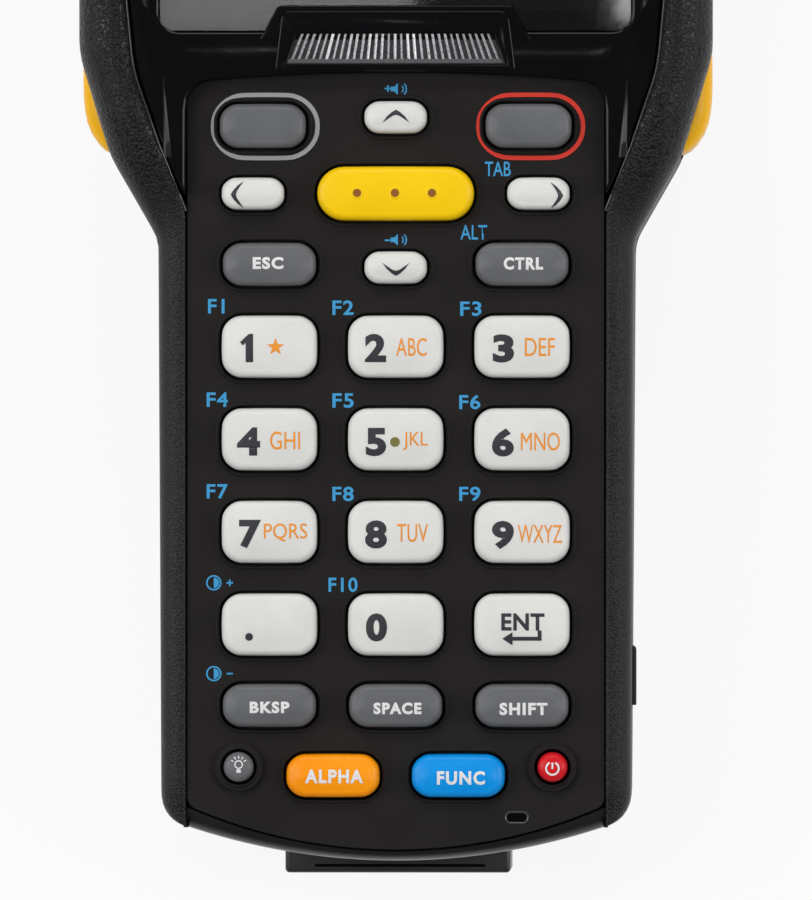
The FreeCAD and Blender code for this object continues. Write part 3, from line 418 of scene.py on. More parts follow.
def cap(label):
    shape, finish = KEY_SHAPE[label]
    outline = rounded_box(*SHAPES[shape])
    centre = key_centre(label)
    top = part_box(label)[1].z / MM
    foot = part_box(label)[0].z / MM
    crown = CROWN[shape]
    short = min(SHAPES[shape][:2]) / 2
    edge = min(EDGE, short * 0.45)
    rings = [ring_at(outline, centre, foot, 0.0),
             ring_at(outline, centre, top - crown - edge, 0.06)]
    for part in range(1, 7):
        angle = math.pi / 2 * part / 6
        rings.append(ring_at(outline, centre, top - crown - edge * (1 - math.sin(angle)),
                             0.06 + edge * (1 - math.cos(angle))))
    inner = 0.06 + edge
    for part in (0.1, 0.2, 0.32, 0.44, 0.56, 0.68, 0.8, 0.91):
        height = crown * (1 - (1 - part) ** 2)
        rings.append(ring_at(outline, centre, top - crown + height,
                             inner + (short - inner) * part))
    points, faces = loft(rings, crown=(*centre, top * MM))
    piece = new_piece("cap_" + label, points, faces, finish, "b_" + label)
    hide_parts(label)
    return piece


caps = {label: cap(label) for label in KEY_SHAPE}
print(len(caps), "caps")

# %% [markdown]
# ## Rims in the keypad panel
# The panel's plate rises in a fine bead round every key. The bead hides the
# punched edge and catches a thin line of light, with a dark gap inside it.

# %% Beads round the keys
RIM_GAP = 0.3
RIM_WIDE = 0.42
RIM_RISE = 0.16


def bead(label):
    shape = KEY_SHAPE[label][0]
    wide, tall, radius, bow_x, bow_y = SHAPES[shape]
    centre = key_centre(label)
    top = PANEL_TOP / MM + (0.8 if shape == "round" else 0)

    def line(grow):
        return rounded_box(wide + 2 * grow, tall + 2 * grow, radius + grow, bow_x, bow_y)

    rings = [ring_at(line(RIM_GAP), centre, top - 2.2), ring_at(line(RIM_GAP), centre, top)]
    for part in range(1, 8):
        angle = math.pi * part / 8
        grow = RIM_GAP + RIM_WIDE / 2 * (1 - math.cos(angle))
        rings.append(ring_at(line(grow), centre, top + RIM_RISE * math.sin(angle)))
    rings.append(ring_at(line(RIM_GAP + RIM_WIDE + 0.1), centre, top - 0.02))
    return loft(rings)


points, faces = [], []
for label in KEY_SHAPE:
    new_points, new_faces = bead(label)
    faces += [tuple(index + len(points) for index in face) for face in new_faces]
    points += new_points
beads = new_piece("key_beads", points, faces, PANEL, "body")
print("beads", len(beads.data.polygons), "faces")

# %% [markdown]
# ## Housing skins
# The case narrows from a broad head to the grip. Its flanks are drawn as
# sections across the terminal, one every millimetre or so: up from the seam,
# over a rounded rail and down the outer wall. The outline is a run of corners
# with generous rounds, the same ones as in the solid.

# %% Plan of the case
def rounded_line(corners):
    """Points along a run of corners (x, y, radius), with arcs at the corners."""
    points = []
    for index, (x, y, radius) in enumerate(corners):
        here = Vector((x, y))
        if not radius or index in (0, len(corners) - 1):
            points.append((x, y))
            continue
        back = (Vector(corners[index - 1][:2]) - here).normalized()
        ahead = (Vector(corners[index + 1][:2]) - here).normalized()
        half_turn = (math.pi - back.angle(ahead)) / 2
        reach = radius * math.tan(half_turn)
        start, end = here + back * reach, here + ahead * reach
        for part in range(9):
            share = part / 8
            point = start.lerp(here, share).lerp(here.lerp(end, share), share)
            points.append((point.x, point.y))
    return points


def half_at(line, up):
    """Half width where the line crosses a height above the lower end."""
    for (x0, y0), (x1, y1) in zip(line, line[1:]):
        if min(y0, y1) <= up <= max(y0, y1) and y0 != y1:
            return x0 + (x1 - x0) * (up - y0) / (y1 - y0)
    return line[-1][0] if up > line[-1][1] else line[0][0]


def arc_height(x, half, sag):
    """How far an arc over a chord of twice half has dropped at x, measured from its crown."""
    radius = (half ** 2 + sag ** 2) / (2 * sag)
    return radius - math.sqrt(max(radius ** 2 - x ** 2, 0))


OUTER = rounded_line([(26.2, 6.0, 0), (29.9, 7.4, 4.5), (30.3, 80.9, 5), (36.3, 91.4, 14),
                      (40.3, 104.5, 14), (40.3, 171.5, 9), (31, 174.2, 0)])
SEAM = rounded_line([(26.65, 5.0, 0), (26.72, 84.6, 3), (30.1, 93, 20), (33.4, 102.5, 20),
                     (34.4, 113, 10), (34.4, 174, 0)])


def crest(up):
    """Height of the flank's top: low along the grip, high round the head."""
    return RAIL_TOP - 0.6 + 0.6 * smooth(up, 7, 12) + (CREST_TOP - RAIL_TOP) * smooth(up, 82, 98)


print("shoulder half width", round(half_at(OUTER, 110), 2), "mm")


# %% Flank sections
WINDOW_LOW = 91.4
WINDOW_HIGH = 116.6
WINDOW_TOP = 31.4


def flank_section(up, side):
    """One section of a flank, from the seam over the top to the joint of the housings."""
    inner, outer = half_at(SEAM, up), half_at(OUTER, up)
    top = crest(up)
    head = smooth(up, 84, 100)
    radius = min(3.0 + 1.9 * head, (outer - inner) * 0.8)
    section = [(inner, SEAT), (inner, top - 0.35 - 0.8 * head),
               (inner + 0.12, top - 0.12 - 0.6 * head),
               (inner + 0.35, top - 0.02 - 0.45 * head)]
    flat = outer - radius
    for part in range(1, 4):
        share = part / 4
        section.append((inner + 0.35 + (flat - inner - 0.35) * share,
                        top - 0.45 * head * (1 - share) ** 2))
    for part in range(9):
        angle = math.pi / 2 * part / 8
        section.append((flat + radius * math.sin(angle), top - radius * (1 - math.cos(angle))))
    low = WINDOW_TOP if WINDOW_LOW < up < WINDOW_HIGH else SPLIT
    section += [(outer, 33), (outer, (33 + low) / 2), (outer - 0.02, low + 0.35),
                (outer - 0.35, low + 0.1), (outer - 0.7, low)]
    return [(side * x * MM, row_y(up), z * MM) for x, z in section]


def flank(side, name):
    heights = [6.1, 6.3, 6.6, 7, 7.5, 8.2, 9, 10, 11.2] + [12.5 + 1.25 * i for i in range(125)]
    heights += [169.5, 170.5, 171.3, 171.9, 172.3]
    heights += [WINDOW_LOW, WINDOW_LOW + 0.02, WINDOW_HIGH - 0.02, WINDOW_HIGH]
    sections = [flank_section(up, side) for up in sorted(heights)]
    points, faces = loft(sections, closed_ring=False)
    count = len(sections[0])
    faces += [tuple(range(count)), tuple(range(len(points) - count, len(points)))]
    return new_piece(name, points, faces, SMOOTH_BLACK, "body")


flanks = [flank(1, "flank_right"), flank(-1, "flank_left")]
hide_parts("front_housing")


# %% Finish the rails finer than the shoulders
def flank_finish():
    """Coarse leather-like grain on the shoulders that calms down to fine pebbles on the grip."""
    finish = Finish("flank_grain", Specular_IOR_Level=0.3)
    y = Value(finish, finish.add("ShaderNodeSeparateXYZ", {}, finish.place).outputs["Y"])
    head = finish.between(y, row_y(84), row_y(96))
    coarse = finish.between(finish.grain(2.4, 1.5, 0.5), 0.4, 0.62)
    fine = finish.grain(3.4, 2.0, 0.5)
    clouds = finish.grain(0.1, 4.0)
    height = coarse * head + fine * (1 - head)
    finish.paint("Base Color", finish.mix(finish.between(clouds + height * 0.6, 0.5, 1.1),
                                          rgb(9, 9, 10), rgb(26, 26, 28)))
    finish.paint("Roughness", finish.between(clouds + height, 0.6, 1.4, 0.34, 0.5))
    finish.bump(height, 0.17)
    return finish.material


FLANK = flank_finish()
for piece in flanks:
    piece.data.materials[0] = FLANK
print("flanks", len(flanks[0].data.polygons), "faces each")

# %% [markdown]
# The lower end is a separate smooth band between the rails' rounded ends. It
# rolls from the keypad's curved edge down to the joint.

# %% Bands at the two ends
def band(name, half, inner_up, outer_up, top, radius, way, material):
    """A rolled band across the case, drawn as sections along X."""
    sections = []
    for step in range(61):
        x = -half + 2 * half * step / 60
        inner, outer = inner_up(x), outer_up(x)
        section = [(inner, SEAT), (inner, top - 0.25), (inner + way * 0.2, top)]
        bend = min(radius, abs(outer - inner) * 0.85)
        for part in range(9):
            angle = math.pi / 2 * part / 8
            section.append((outer - way * bend * (1 - math.sin(angle)),
                            top - radius * (1 - math.cos(angle))))
        section += [(outer, 30), (outer, SPLIT + 0.3), (outer - way * 0.5, SPLIT)]
        sections.append([(x * MM, row_y(up), z * MM) for up, z in section])
    points, faces = loft(sections, closed_ring=False)
    count = len(sections[0])
    faces += [tuple(range(count)), tuple(range(len(points) - count, len(points)))]
    return new_piece(name, points, faces, material, "body")


def panel_low(x):
    return 3.3 + arc_height(x, 26.5, 5.6) - 0.12


def end_low(x):
    return 1.8 + arc_height(x, 29.8, 5.5)


lower_band = band("lower_band", 26.6, panel_low, end_low, 38.3, 2.6, -1, SMOOTH_BLACK)
upper_band = band("upper_band", 34.4, lambda x: 172.1 - arc_height(x, 34.4, 4),
                  lambda x: 175.9 - arc_height(x, 38, 4.5), 42.6, 3.2, 1, SMOOTH_BLACK)
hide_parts("front_housing")
print("bands", len(lower_band.data.polygons), len(upper_band.data.polygons))

# %% [markdown]
# ## Display bezel
# A polished frame carries the display glass and reaches down on both sides of
# the keys in two tapering legs. It is drawn as a flat outline, pulled up, with a
# rolled rim along its outer seam.

# %% Bezel
BEZEL_TOP = 41.4
BEZEL_LINE = rounded_line([(26.7, 86.3, 0), (30.0, 93.1, 20), (33.3, 102.5, 20),
                           (34.25, 113, 10), (34.25, 166, 6), (28, 171, 0)])


def bezel_plan():
    """The bezel's outline once round, in millimetres above the lower end."""
    right = BEZEL_LINE + [(14, 172.4)]
    left = [(-x, up) for x, up in reversed(right)]
    top_of_keys = [(x, 102.15 - arc_height(x, 26.5, 1.3)) for x in
                   [-23.3 + 46.6 * i / 40 for i in range(41)]]
    left_corner = [(-26.6, 97.4), (-26.4, 98.8), (-25.6, 100.2), (-24.6, 100.9)]
    right_corner = [(-x, up) for x, up in reversed(left_corner)]
    return right + left + left_corner + top_of_keys + right_corner


def fill_plan(name, loops, z_low, z_high, material, roll=0.0, segments=3):
    """A plate with holes: outline loops filled flat, pulled up and rolled along the top edge."""
    work = bmesh.new()
    for loop in loops:
        ring = [work.verts.new((x * MM, row_y(up), z_low * MM)) for x, up in loop]
        for first, second in zip(ring, ring[1:] + ring[:1]):
            work.edges.new((first, second))
    bmesh.ops.triangle_fill(work, use_beauty=True, use_dissolve=True, edges=work.edges)
    raised = bmesh.ops.extrude_face_region(work, geom=list(work.faces))
    corners = [item for item in raised["geom"] if isinstance(item, bmesh.types.BMVert)]
    bmesh.ops.translate(work, verts=corners, vec=(0, 0, (z_high - z_low) * MM))
    bmesh.ops.recalc_face_normals(work, faces=work.faces)
    mesh = bpy.data.meshes.new(name)
    work.to_mesh(mesh)
    work.free()
    mesh.materials.append(material)
    piece = bpy.data.objects.new(name, mesh)
    bpy.context.scene.collection.objects.link(piece)
    bpy.ops.object.select_all(action="DESELECT")
    piece.select_set(True)
    bpy.context.view_layer.objects.active = piece
    if roll:
        bevel = piece.modifiers.new("roll", "BEVEL")
        bevel.width = roll * MM
        bevel.segments = segments
        bevel.limit_method = "ANGLE"
        bevel.angle_limit = math.radians(50)
        bevel.harden_normals = False
        bpy.ops.object.modifier_apply(modifier="roll")
    bpy.ops.object.shade_smooth_by_angle(angle=math.radians(35))
    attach(piece, "body")
    return piece


def around(loop_points, centre_up):
    return [(x, centre_up + y) for x, y in loop_points]


window_mid = (107.4 + 166) / 2
window_hole = around(rounded_box(59.9, 58.7, 2.4), window_mid)
badge_hole = rounded_line([(13.75, 103.2, 0), (12.4, 107.1, 0.7), (-12.4, 107.1, 0.7),
                           (-13.75, 103.2, 0)])
bezel = fill_plan("bezel", [bezel_plan(), window_hole], SEAT, BEZEL_TOP, GLOSS, 0.5)
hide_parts("display_bezel")
print("bezel", len(bezel.data.polygons), "faces")

# %% [markdown]
# ## Ribbed badge window
# Between the keys and the display sits a clear trapezoid with fine upright
# ribs over silver foil, inside a raised U-shaped frame. Nothing is printed on it.

# %% Badge
frame_outer = rounded_line([(15.3, 102.35, 0), (14.4, 109.9, 1.4), (-14.4, 109.9, 1.4),
                            (-15.3, 102.35, 0)])
frame_step = rounded_line([(17.3, 106.2, 0), (16.6, 107.4, 0.8), (14.9, 110.6, 1.0),
                           (-14.9, 110.6, 1.0), (-16.6, 107.4, 0.8), (-17.3, 106.2, 0)])
step_plate = fill_plan("badge_step", [frame_step], BEZEL_TOP - 0.5, BEZEL_TOP + 0.12, GLOSS, 0.2)
badge_frame = fill_plan("badge_frame", [frame_outer, badge_hole], BEZEL_TOP - 0.4,
                        BEZEL_TOP + 0.5, GLOSS, 0.2)
RIBS = 31


def rib_mesh():
    """Thin upright ribs that fan out a little toward the lower edge."""
    points, faces = [], []
    for rib in range(RIBS):
        share = (rib + 0.5) / RIBS * 2 - 1
        jitter = 0.06 * noise.noise(Vector((rib * 1.7, 0.3, 0)))
        wide = 0.2 + 0.09 * noise.noise(Vector((rib * 0.9, 5.1, 0)))
        low, high = (share * 13.5 + jitter, 103.75), (share * 12.2 + jitter, 106.95)
        rise = 0.42
        ring = []
        for (x, up) in (low, high):
            ring.append([((x + dx) * MM, row_y(up), (BEZEL_TOP + dz) * MM) for dx, dz in
                         ((-wide, -0.15), (-wide * 0.7, rise * 0.7), (0, rise),
                          (wide * 0.7, rise * 0.7), (wide, -0.15))])
        new_points, new_faces = loft(ring)
        faces += [tuple(index + len(points) for index in face) for face in new_faces]
        points += new_points
    return points, faces


ribs = new_piece("badge_ribs", *rib_mesh(), SILVER, "body")
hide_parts("badge_window")
lip = fill_plan("badge_lip", [rounded_line([(13.7, 103.2, 0), (13.5, 103.8, 0),
                                            (-13.5, 103.8, 0), (-13.7, 103.2, 0)])],
                BEZEL_TOP - 0.2, BEZEL_TOP + 0.44, BADGE_CLEAR, 0.12)
# The plate under the ribs is dark grey as painted shade between the ribs; the silver backing is
# hidden.
foil = fill_plan("badge_rib_shade_plate", [badge_hole], BEZEL_TOP - 0.2, BEZEL_TOP + 0.02, RIB_SHADE_GREY)
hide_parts("badge_backing")
print("ribs", RIBS)

# %% [markdown]
# ## Lettering and icons
# Legends are printed: flat ink a few hundredths of a millimetre thick. Text is
# typed with Blender's own plain letters, made a mesh and laid on its cap.

# %% Ink
def settle(piece, body, target=None):
    """Lay flat ink on a level, or drop it onto a cap's crown."""
    bpy.ops.object.select_all(action="DESELECT")
    piece.select_set(True)
    bpy.context.view_layer.objects.active = piece
    bpy.ops.object.transform_apply(location=True, rotation=True, scale=True)
    if target is not None:
        work = bmesh.new()
        work.from_mesh(piece.data)
        bmesh.ops.triangulate(work, faces=work.faces)
        bmesh.ops.subdivide_edges(work, edges=work.edges, cuts=2, use_grid_fill=True)
        work.to_mesh(piece.data)
        work.free()
        wrap = piece.modifiers.new("lay", "SHRINKWRAP")
        wrap.wrap_method = "PROJECT"
        wrap.use_project_z = True
        wrap.use_positive_direction = False
        wrap.use_negative_direction = True
        wrap.target = target
        wrap.offset = 0.04 * MM
        bpy.ops.object.modifier_apply(modifier="lay")
    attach(piece, body)
    return piece


def label_text(name, words, x_mm, up_mm, wide_mm, tall_mm, ink, body="body", target=None,
               bold=0.0, apart=1.0):
    """Words stretched to fill a box of this size, centred on a place."""
    curve = bpy.data.curves.new(name, "FONT")
    curve.body = words
    curve.size = tall_mm * 1.4 * MM
    curve.offset = bold * MM
    curve.space_character = apart
    curve.resolution_u = 4
    piece = bpy.data.objects.new(name, curve)
    bpy.context.scene.collection.objects.link(piece)
    curve.materials.append(PRINTS[ink])
    bpy.ops.object.select_all(action="DESELECT")
    piece.select_set(True)
    bpy.context.view_layer.objects.active = piece
    bpy.ops.object.convert(target="MESH")
    across = [vertex.co.x for vertex in piece.data.vertices]
    along = [vertex.co.y for vertex in piece.data.vertices]
    sx = wide_mm * MM / (max(across) - min(across))
    sy = tall_mm * MM / (max(along) - min(along))
    level = 0.0425 if target is not None else PANEL_TOP + 0.025 * MM
    piece.scale = (sx, sy, 1)
    piece.location = (x_mm * MM - sx * (max(across) + min(across)) / 2,
                      row_y(up_mm) - sy * (max(along) + min(along)) / 2, level)
    return settle(piece, body, target)


def flat_piece(name, loops, x_mm, up_mm, ink, body="body", target=None):
    """A flat printed shape from outlines in millimetres about its own middle."""
    work = bmesh.new()
    level = 0.0425 if target is not None else PANEL_TOP + 0.025 * MM
    for loop in loops:
        ring = [work.verts.new(((x_mm + x) * MM, row_y(up_mm + y), level)) for x, y in loop]
        for first, second in zip(ring, ring[1:] + ring[:1]):
            work.edges.new((first, second))
    bmesh.ops.triangle_fill(work, use_beauty=True, edges=work.edges)
    for face in work.faces:
        if face.normal.z < 0:
            face.normal_flip()
    mesh = bpy.data.meshes.new(name)
    work.to_mesh(mesh)
    work.free()
    mesh.materials.append(PRINTS[ink])
    piece = bpy.data.objects.new(name, mesh)
    bpy.context.scene.collection.objects.link(piece)
    return settle(piece, body, target)


def photo_x(pixel):
    return (pixel - 395.3) * 0.127


def photo_up(pixel):
    return (876 - pixel) * 0.127


def on_key(label):
    return {"body": "b_" + label, "target": caps[label]}


DIGIT_TALL = 3.6
LETTER_TALL = 2.3
DIGITS = {"2": (375.5, 348, 2.7), "3": (503.5, 348.5, 2.7), "4": (248.5, 441.5, 2.95),
          "5": (376, 442, 2.6), "6": (503, 442.5, 2.8), "7": (250, 534, 2.8),
          "8": (376, 534.5, 2.8), "9": (503, 535, 2.8), "0": (376.5, 627.5, 2.7)}
LETTERS = {"2": ("ABC", 411.5, 347, 3.9), "3": ("DEF", 540, 347, 3.8),
           "4": ("GHI", 285, 440.5, 3.8), "5": ("JKL", 415.5, 441, 3.1),
           "6": ("MNO", 540.5, 441.5, 4.95), "7": ("PQRS", 285.5, 532.5, 5.5),
           "8": ("TUV", 412.5, 533, 3.95), "9": ("WXYZ", 540, 534, 5.6)}
for digit, (px, py, wide) in DIGITS.items():
    label_text("digit_" + digit, digit, photo_x(px), photo_up(py), wide, DIGIT_TALL, "charcoal",
               bold=0.24, **on_key("key_" + digit))
for digit, (words, px, py, wide) in LETTERS.items():
    label_text("letters_" + digit, words, photo_x(px), photo_up(py), wide, LETTER_TALL, "orange",
               **on_key("key_" + digit))
WORDS = {"escape": ("ESC", 268, 263, 3.9, 1.55), "control": ("CTRL", 523.5, 263.5, 5.0, 1.6),
         "backspace": ("BKSP", 269.5, 707.5, 5.05, 1.5), "space": ("SPACE", 397.5, 708.5, 6.1, 1.5),
         "shift": ("SHIFT", 523.5, 709, 6.1, 1.6), "alpha": ("ALPHA", 334, 776.5, 7.4, 1.75),
         "function": ("FUNC", 461, 778, 6.1, 1.75)}
for label, (words, px, py, wide, tall) in WORDS.items():
    label_text("word_" + label, words, photo_x(px), photo_up(py), wide, tall, "white", bold=0.1,
               apart=1.18, **on_key("key_" + label))
label_text("word_enter", "ENT", photo_x(523), photo_up(622), 5.5, 2.2, "charcoal", bold=0.1,
           apart=1.08, **on_key("key_enter"))
LAYER_WIDE = 2.7
LAYER_TALL = 1.85
LAYERS = {1: (215.5, 306), 2: (342.5, 307.5), 3: (470.5, 308.5), 4: (216.5, 399.5),
          5: (342.5, 400.5), 6: (469.5, 402), 7: (216.5, 491.5), 8: (342.5, 494),
          9: (469.5, 494), 10: (342.5, 585)}
for number, (px, py) in LAYERS.items():
    wide = {1: 2.1, 10: 3.7}.get(number, LAYER_WIDE)
    label_text(f"layer_{number}", f"F{number}", photo_x(px), photo_up(py), wide, LAYER_TALL,
               "blue", bold=0.05, apart=1.1)
label_text("word_tab", "TAB", photo_x(497.5), photo_up(168.5), 3.3, 1.85, "blue", bold=0.02)
label_text("word_alt", "ALT", photo_x(473.5), photo_up(232), 3.4, 1.85, "blue", bold=0.02)
print("legends typed")


# %% Icons
def disc(radius, x=0.0, y=0.0, start=0, end=360, count=28):
    """Points of a circle or of a part of one."""
    return [(x + radius * math.cos(math.radians(start + (end - start) * i / count)),
             y + radius * math.sin(math.radians(start + (end - start) * i / count)))
            for i in range(count + (0 if end - start == 360 else 1))]


def star(outer, inner):
    return [((outer if i % 2 == 0 else inner) * math.sin(math.pi * i / 5),
             (outer if i % 2 == 0 else inner) * math.cos(math.pi * i / 5)) for i in range(10)]


def chevron(turn):
    """A tapered arrow head that points up, turned by quarter turns."""
    half = [(0, 0.95), (0.55, 0.62), (1.15, 0.08), (1.72, -0.72), (0.95, -0.18), (0.42, 0.16),
            (0, 0.28)]
    line = half + [(-x, y) for x, y in reversed(half[1:-1])]
    c, s = math.cos(turn * math.pi / 2), math.sin(turn * math.pi / 2)
    return [(x * c - y * s, x * s + y * c) for x, y in line]


def box_line(x0, x1, y0, y1):
    return [(x0, y0), (x1, y0), (x1, y1), (x0, y1)]


ONE = [(-0.83, 0.75), (0.28, 1.8), (0.83, 1.8), (0.83, -1.8), (-0.12, -1.8), (-0.12, 0.65),
       (-0.5, 0.32)]
flat_piece("digit_1", [ONE], photo_x(246.5), photo_up(348), "charcoal", **on_key("key_1"))
flat_piece("star", [star(1.15, 0.46)], photo_x(275.5), photo_up(347), "orange", **on_key("key_1"))
for label, turn, px, py in (("key_up", 0, 396, 117), ("key_left", 1, 238, 194.5),
                            ("key_down", 2, 396, 268.5), ("key_right", 3, 556, 195.5)):
    flat_piece("arrow_" + label, [chevron(turn)], photo_x(px), photo_up(py), "charcoal",
               **on_key(label))
flat_piece("nub_5", [disc(0.62)], photo_x(395), photo_up(442), "olive", **on_key("key_5"))
flat_piece("dot", [disc(0.5)], photo_x(249), photo_up(637), "charcoal", **on_key("key_dot"))
RETURN = [(-2.5, -0.1), (-1.2, 0.75), (-1.2, 0.15), (2.0, 0.15), (2.0, 0.95), (2.5, 0.95),
          (2.5, -0.35), (-1.2, -0.35), (-1.2, -0.95)]
flat_piece("return_arrow", [RETURN], photo_x(522), photo_up(638), "charcoal",
           **on_key("key_enter"))
SIGNS = {"plus": [(-0.42, -0.1), (-0.1, -0.1), (-0.1, -0.42), (0.1, -0.42), (0.1, -0.1),
                  (0.42, -0.1), (0.42, 0.1), (0.1, 0.1), (0.1, 0.42), (-0.1, 0.42), (-0.1, 0.1),
                  (-0.42, 0.1)],
         "minus": box_line(-0.4, 0.4, -0.1, 0.1)}
for sign, py in (("plus", 583), ("minus", 674)):
    flat_piece("contrast_ring_" + sign, [disc(0.98), disc(0.78)], photo_x(213), photo_up(py), "blue")
    flat_piece("contrast_half_" + sign, [disc(0.66, start=-90, end=90)], photo_x(213),
               photo_up(py), "blue")
    shape = [SIGNS[sign]]
    flat_piece("contrast_" + sign, shape, photo_x(229), photo_up(py), "blue")
    flat_piece("volume_" + sign, shape, photo_x(387.5), photo_up(88 if sign == "plus" else 240),
               "blue")
for sign, py in (("plus", 88.5), ("minus", 239.5)):
    horn = [(-0.85, -0.3), (-0.4, -0.3), (0.05, -0.75), (0.05, 0.75), (-0.4, 0.3), (-0.85, 0.3)]
    flat_piece("horn_" + sign, [horn], photo_x(397), photo_up(py), "blue")
    for number, radius in enumerate((0.55, 0.95)):
        arc = disc(radius + 0.08, start=-45, end=45, count=10)
        arc += list(reversed(disc(radius - 0.08, start=-45, end=45, count=10)))
        flat_piece(f"wave_{sign}_{number}", [arc], photo_x(398.5), photo_up(py), "blue")
power_ring = disc(0.92, start=115, end=425, count=30)
power_ring += list(reversed(disc(0.68, start=115, end=425, count=30)))
flat_piece("power_ring", [power_ring], photo_x(552.5), photo_up(768.5), "white",
           **on_key("key_power"))
flat_piece("power_bar", [box_line(-0.12, 0.12, -0.05, 0.75)], photo_x(552.5), photo_up(768.5),
           "white", **on_key("key_power"))
flat_piece("bulb", [disc(0.55, y=0.1), disc(0.4, y=0.1)], photo_x(238.5), photo_up(765.5), "white",
           **on_key("key_light"))
flat_piece("bulb_foot", [box_line(-0.28, 0.28, -0.95, -0.5)], photo_x(238.5), photo_up(765.5),
           "white", **on_key("key_light"))
for number, angle in enumerate((30, 60, 90, 120, 150)):
    c, s = math.cos(math.radians(angle)), math.sin(math.radians(angle))
    ray = [(c * r - s * w, 0.1 + s * r + c * w) for r, w in
           ((0.75, -0.06), (1.1, -0.06), (1.1, 0.06), (0.75, 0.06))]
    flat_piece(f"ray_{number}", [ray], photo_x(238.5), photo_up(765.5), "white",
               **on_key("key_light"))
for name, x, ink in (("left", photo_x(264.6), "grey"), ("right", photo_x(530.5), "red")):
    outer = rounded_box(13.85, 8.6, 4.0, 0.02, 0.05)
    inner = rounded_box(12.75, 7.5, 3.5, 0.02, 0.05)
    flat_piece("ring_" + name, [outer, inner], x, photo_up(126), ink)
print("icons printed")

# %% [markdown]
# ## Dimples in the scan key
# Three small round dimples with a fine raised lip run along the yellow key; a brown disc in each is
# painted shade for its hollow.

# %% Dimples
def dimple(name, px):
    centre = (photo_x(px) * MM, row_y(photo_up(193)))
    crown = caps["key_scan"].data.vertices[-1].co.z / MM
    profile = [(0.86, -0.12), (0.8, -0.02), (0.7, 0.05), (0.58, 0.05), (0.5, -0.02)]
    rings = [ring_at(disc(radius, count=24), centre, crown + lift) for radius, lift in profile]
    points, faces = loft(rings)
    piece = new_piece(name, points, faces, YELLOW, "b_key_scan")
    # Painted shade: a flat brown disc where the dimple's hollow would be.
    pit_shade_rings = [ring_at(disc(radius, count=24), centre, crown + lift)
           for radius, lift in ((0.52, 0.015), (0.3, 0.012))]
    points, faces = loft(pit_shade_rings, crown=(*centre, (crown + 0.01) * MM))
    return piece, new_piece(name + "_pit", points, faces, PRINTS["brown"], "b_key_scan")


dimples = [dimple(f"dimple_{number}", px) for number, px in enumerate((357, 395, 432))]
print("dimples", len(dimples))

# %% [markdown]
# ## Microphone slot
# A short rounded slot near the lower right corner has its own fine bead, in lighter grey as a painted
# highlight, and a near-black disc over the hole as painted shade.

# %% Slot bead
def slot_bead():
    centre = (photo_x(516.5) * MM, row_y(photo_up(818)))
    top = PANEL_TOP / MM
    rings = [ring_at(rounded_box(2.5 + 2 * grow, 1.05 + 2 * grow, 0.5 + grow), centre, top + lift)
             for grow, lift in ((-0.02, -1.2), (0, 0.02), (0.07, 0.16), (0.17, 0.2),
                                (0.27, 0.14), (0.34, -0.02))]
    points, faces = loft(rings)
    bead_piece = new_piece("slot_bead", points, faces, HIGHLIGHT_GREY, "body")
    # Painted shade: a flat near-black disc over the slot's hole.
    shade_disc_ring = [ring_at(rounded_box(2.6, 1.15, 0.5), centre, top + 0.03)]
    points, faces = loft(shade_disc_ring, crown=(*centre, (top + 0.03) * MM))
    return bead_piece, new_piece("slot_shade_disc", points, faces, SHADE_BLACK, "body")


slot_pieces = slot_bead()
print("slot", len(slot_pieces))

# %% [markdown]
# ## Side triggers
# A yellow bar shows at each side under the shoulder. Its lower end curls back
# into the case, and its long edges are rounded for the finger.

# %% Trigger bars
def trigger_bar(side, name):
    line = [(38.2, 93.2), (39.15, 94.6), (39.7, 96), (40.0, 97.6), (40.15, 99.2), (40.2, 101),
            (40.2, 103), (40.15, 105), (40.1, 108), (40.1, 112), (40.0, 114.5), (39.6, 115.8)]
    line = [(36.6, 92.0), (37.4, 92.4)] + line + [(38.4, 116.1)]
    sections = []
    for x, up in line:
        section = [(34.6, 15.0), (x - 2.2, 15.0)]
        for part in range(7):
            angle = math.pi / 2 * part / 6
            section.append((x - 2.0 + 2.0 * math.sin(angle), 17.2 - 2.2 * math.cos(angle)))
        for part in range(7):
            angle = math.pi / 2 * part / 6
            section.append((x - 2.0 + 2.0 * math.cos(angle), 28.8 + 2.2 * math.sin(angle)))
        section += [(x - 2.2, 31.0), (34.6, 31.0)]
        sections.append([(side * px * MM, row_y(up), pz * MM) for px, pz in section])
    points, faces = loft(sections)
    count = len(sections[0])
    faces += [tuple(range(count)), tuple(range(len(points) - count, len(points)))]
    piece = new_piece("bar_" + name, points, faces, TRIGGER, name)
    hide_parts(name)
    return piece


triggers = [trigger_bar(1, "trigger_right"), trigger_bar(-1, "trigger_left")]
print("trigger bars", len(triggers))

# %% [markdown]
# ## Fine edges of the head
# Where the grained shoulder meets the polished frame stands a thin moulded
# edge, coloured lighter grey as a painted highlight, and a faint fold runs up each leg of the frame.

# %% Seam edges and folds
def thread(name, line, radius, lift, material):
    """A thin rounded edge along a run of (x, up, z) places in millimetres."""
    sections = []
    for x, up, z in line:
        sections.append([((x + radius * math.cos(turn)) * MM, row_y(up),
                          (z + lift * math.sin(turn)) * MM)
                         for turn in (math.pi * part / 6 for part in range(7))])
    points, faces = loft(sections, closed_ring=False)
    return new_piece(name, points, faces, material, "body")


def seam_edge(side, name):
    line = []
    for step in range(150):
        up = 84.5 + 0.59 * step
        wobble = 0.035 * noise.noise(Vector((up * 1.9, side, 0)))
        line.append((side * (half_at(SEAM, up) - 0.05) + wobble, up,
                     crest(up) - 0.75 * smooth(up, 84, 100) - 0.42))
    # The edge's lighter grey is a painted highlight along the seam.
    return thread(name, line, 0.17, 0.32, HIGHLIGHT_GREY)


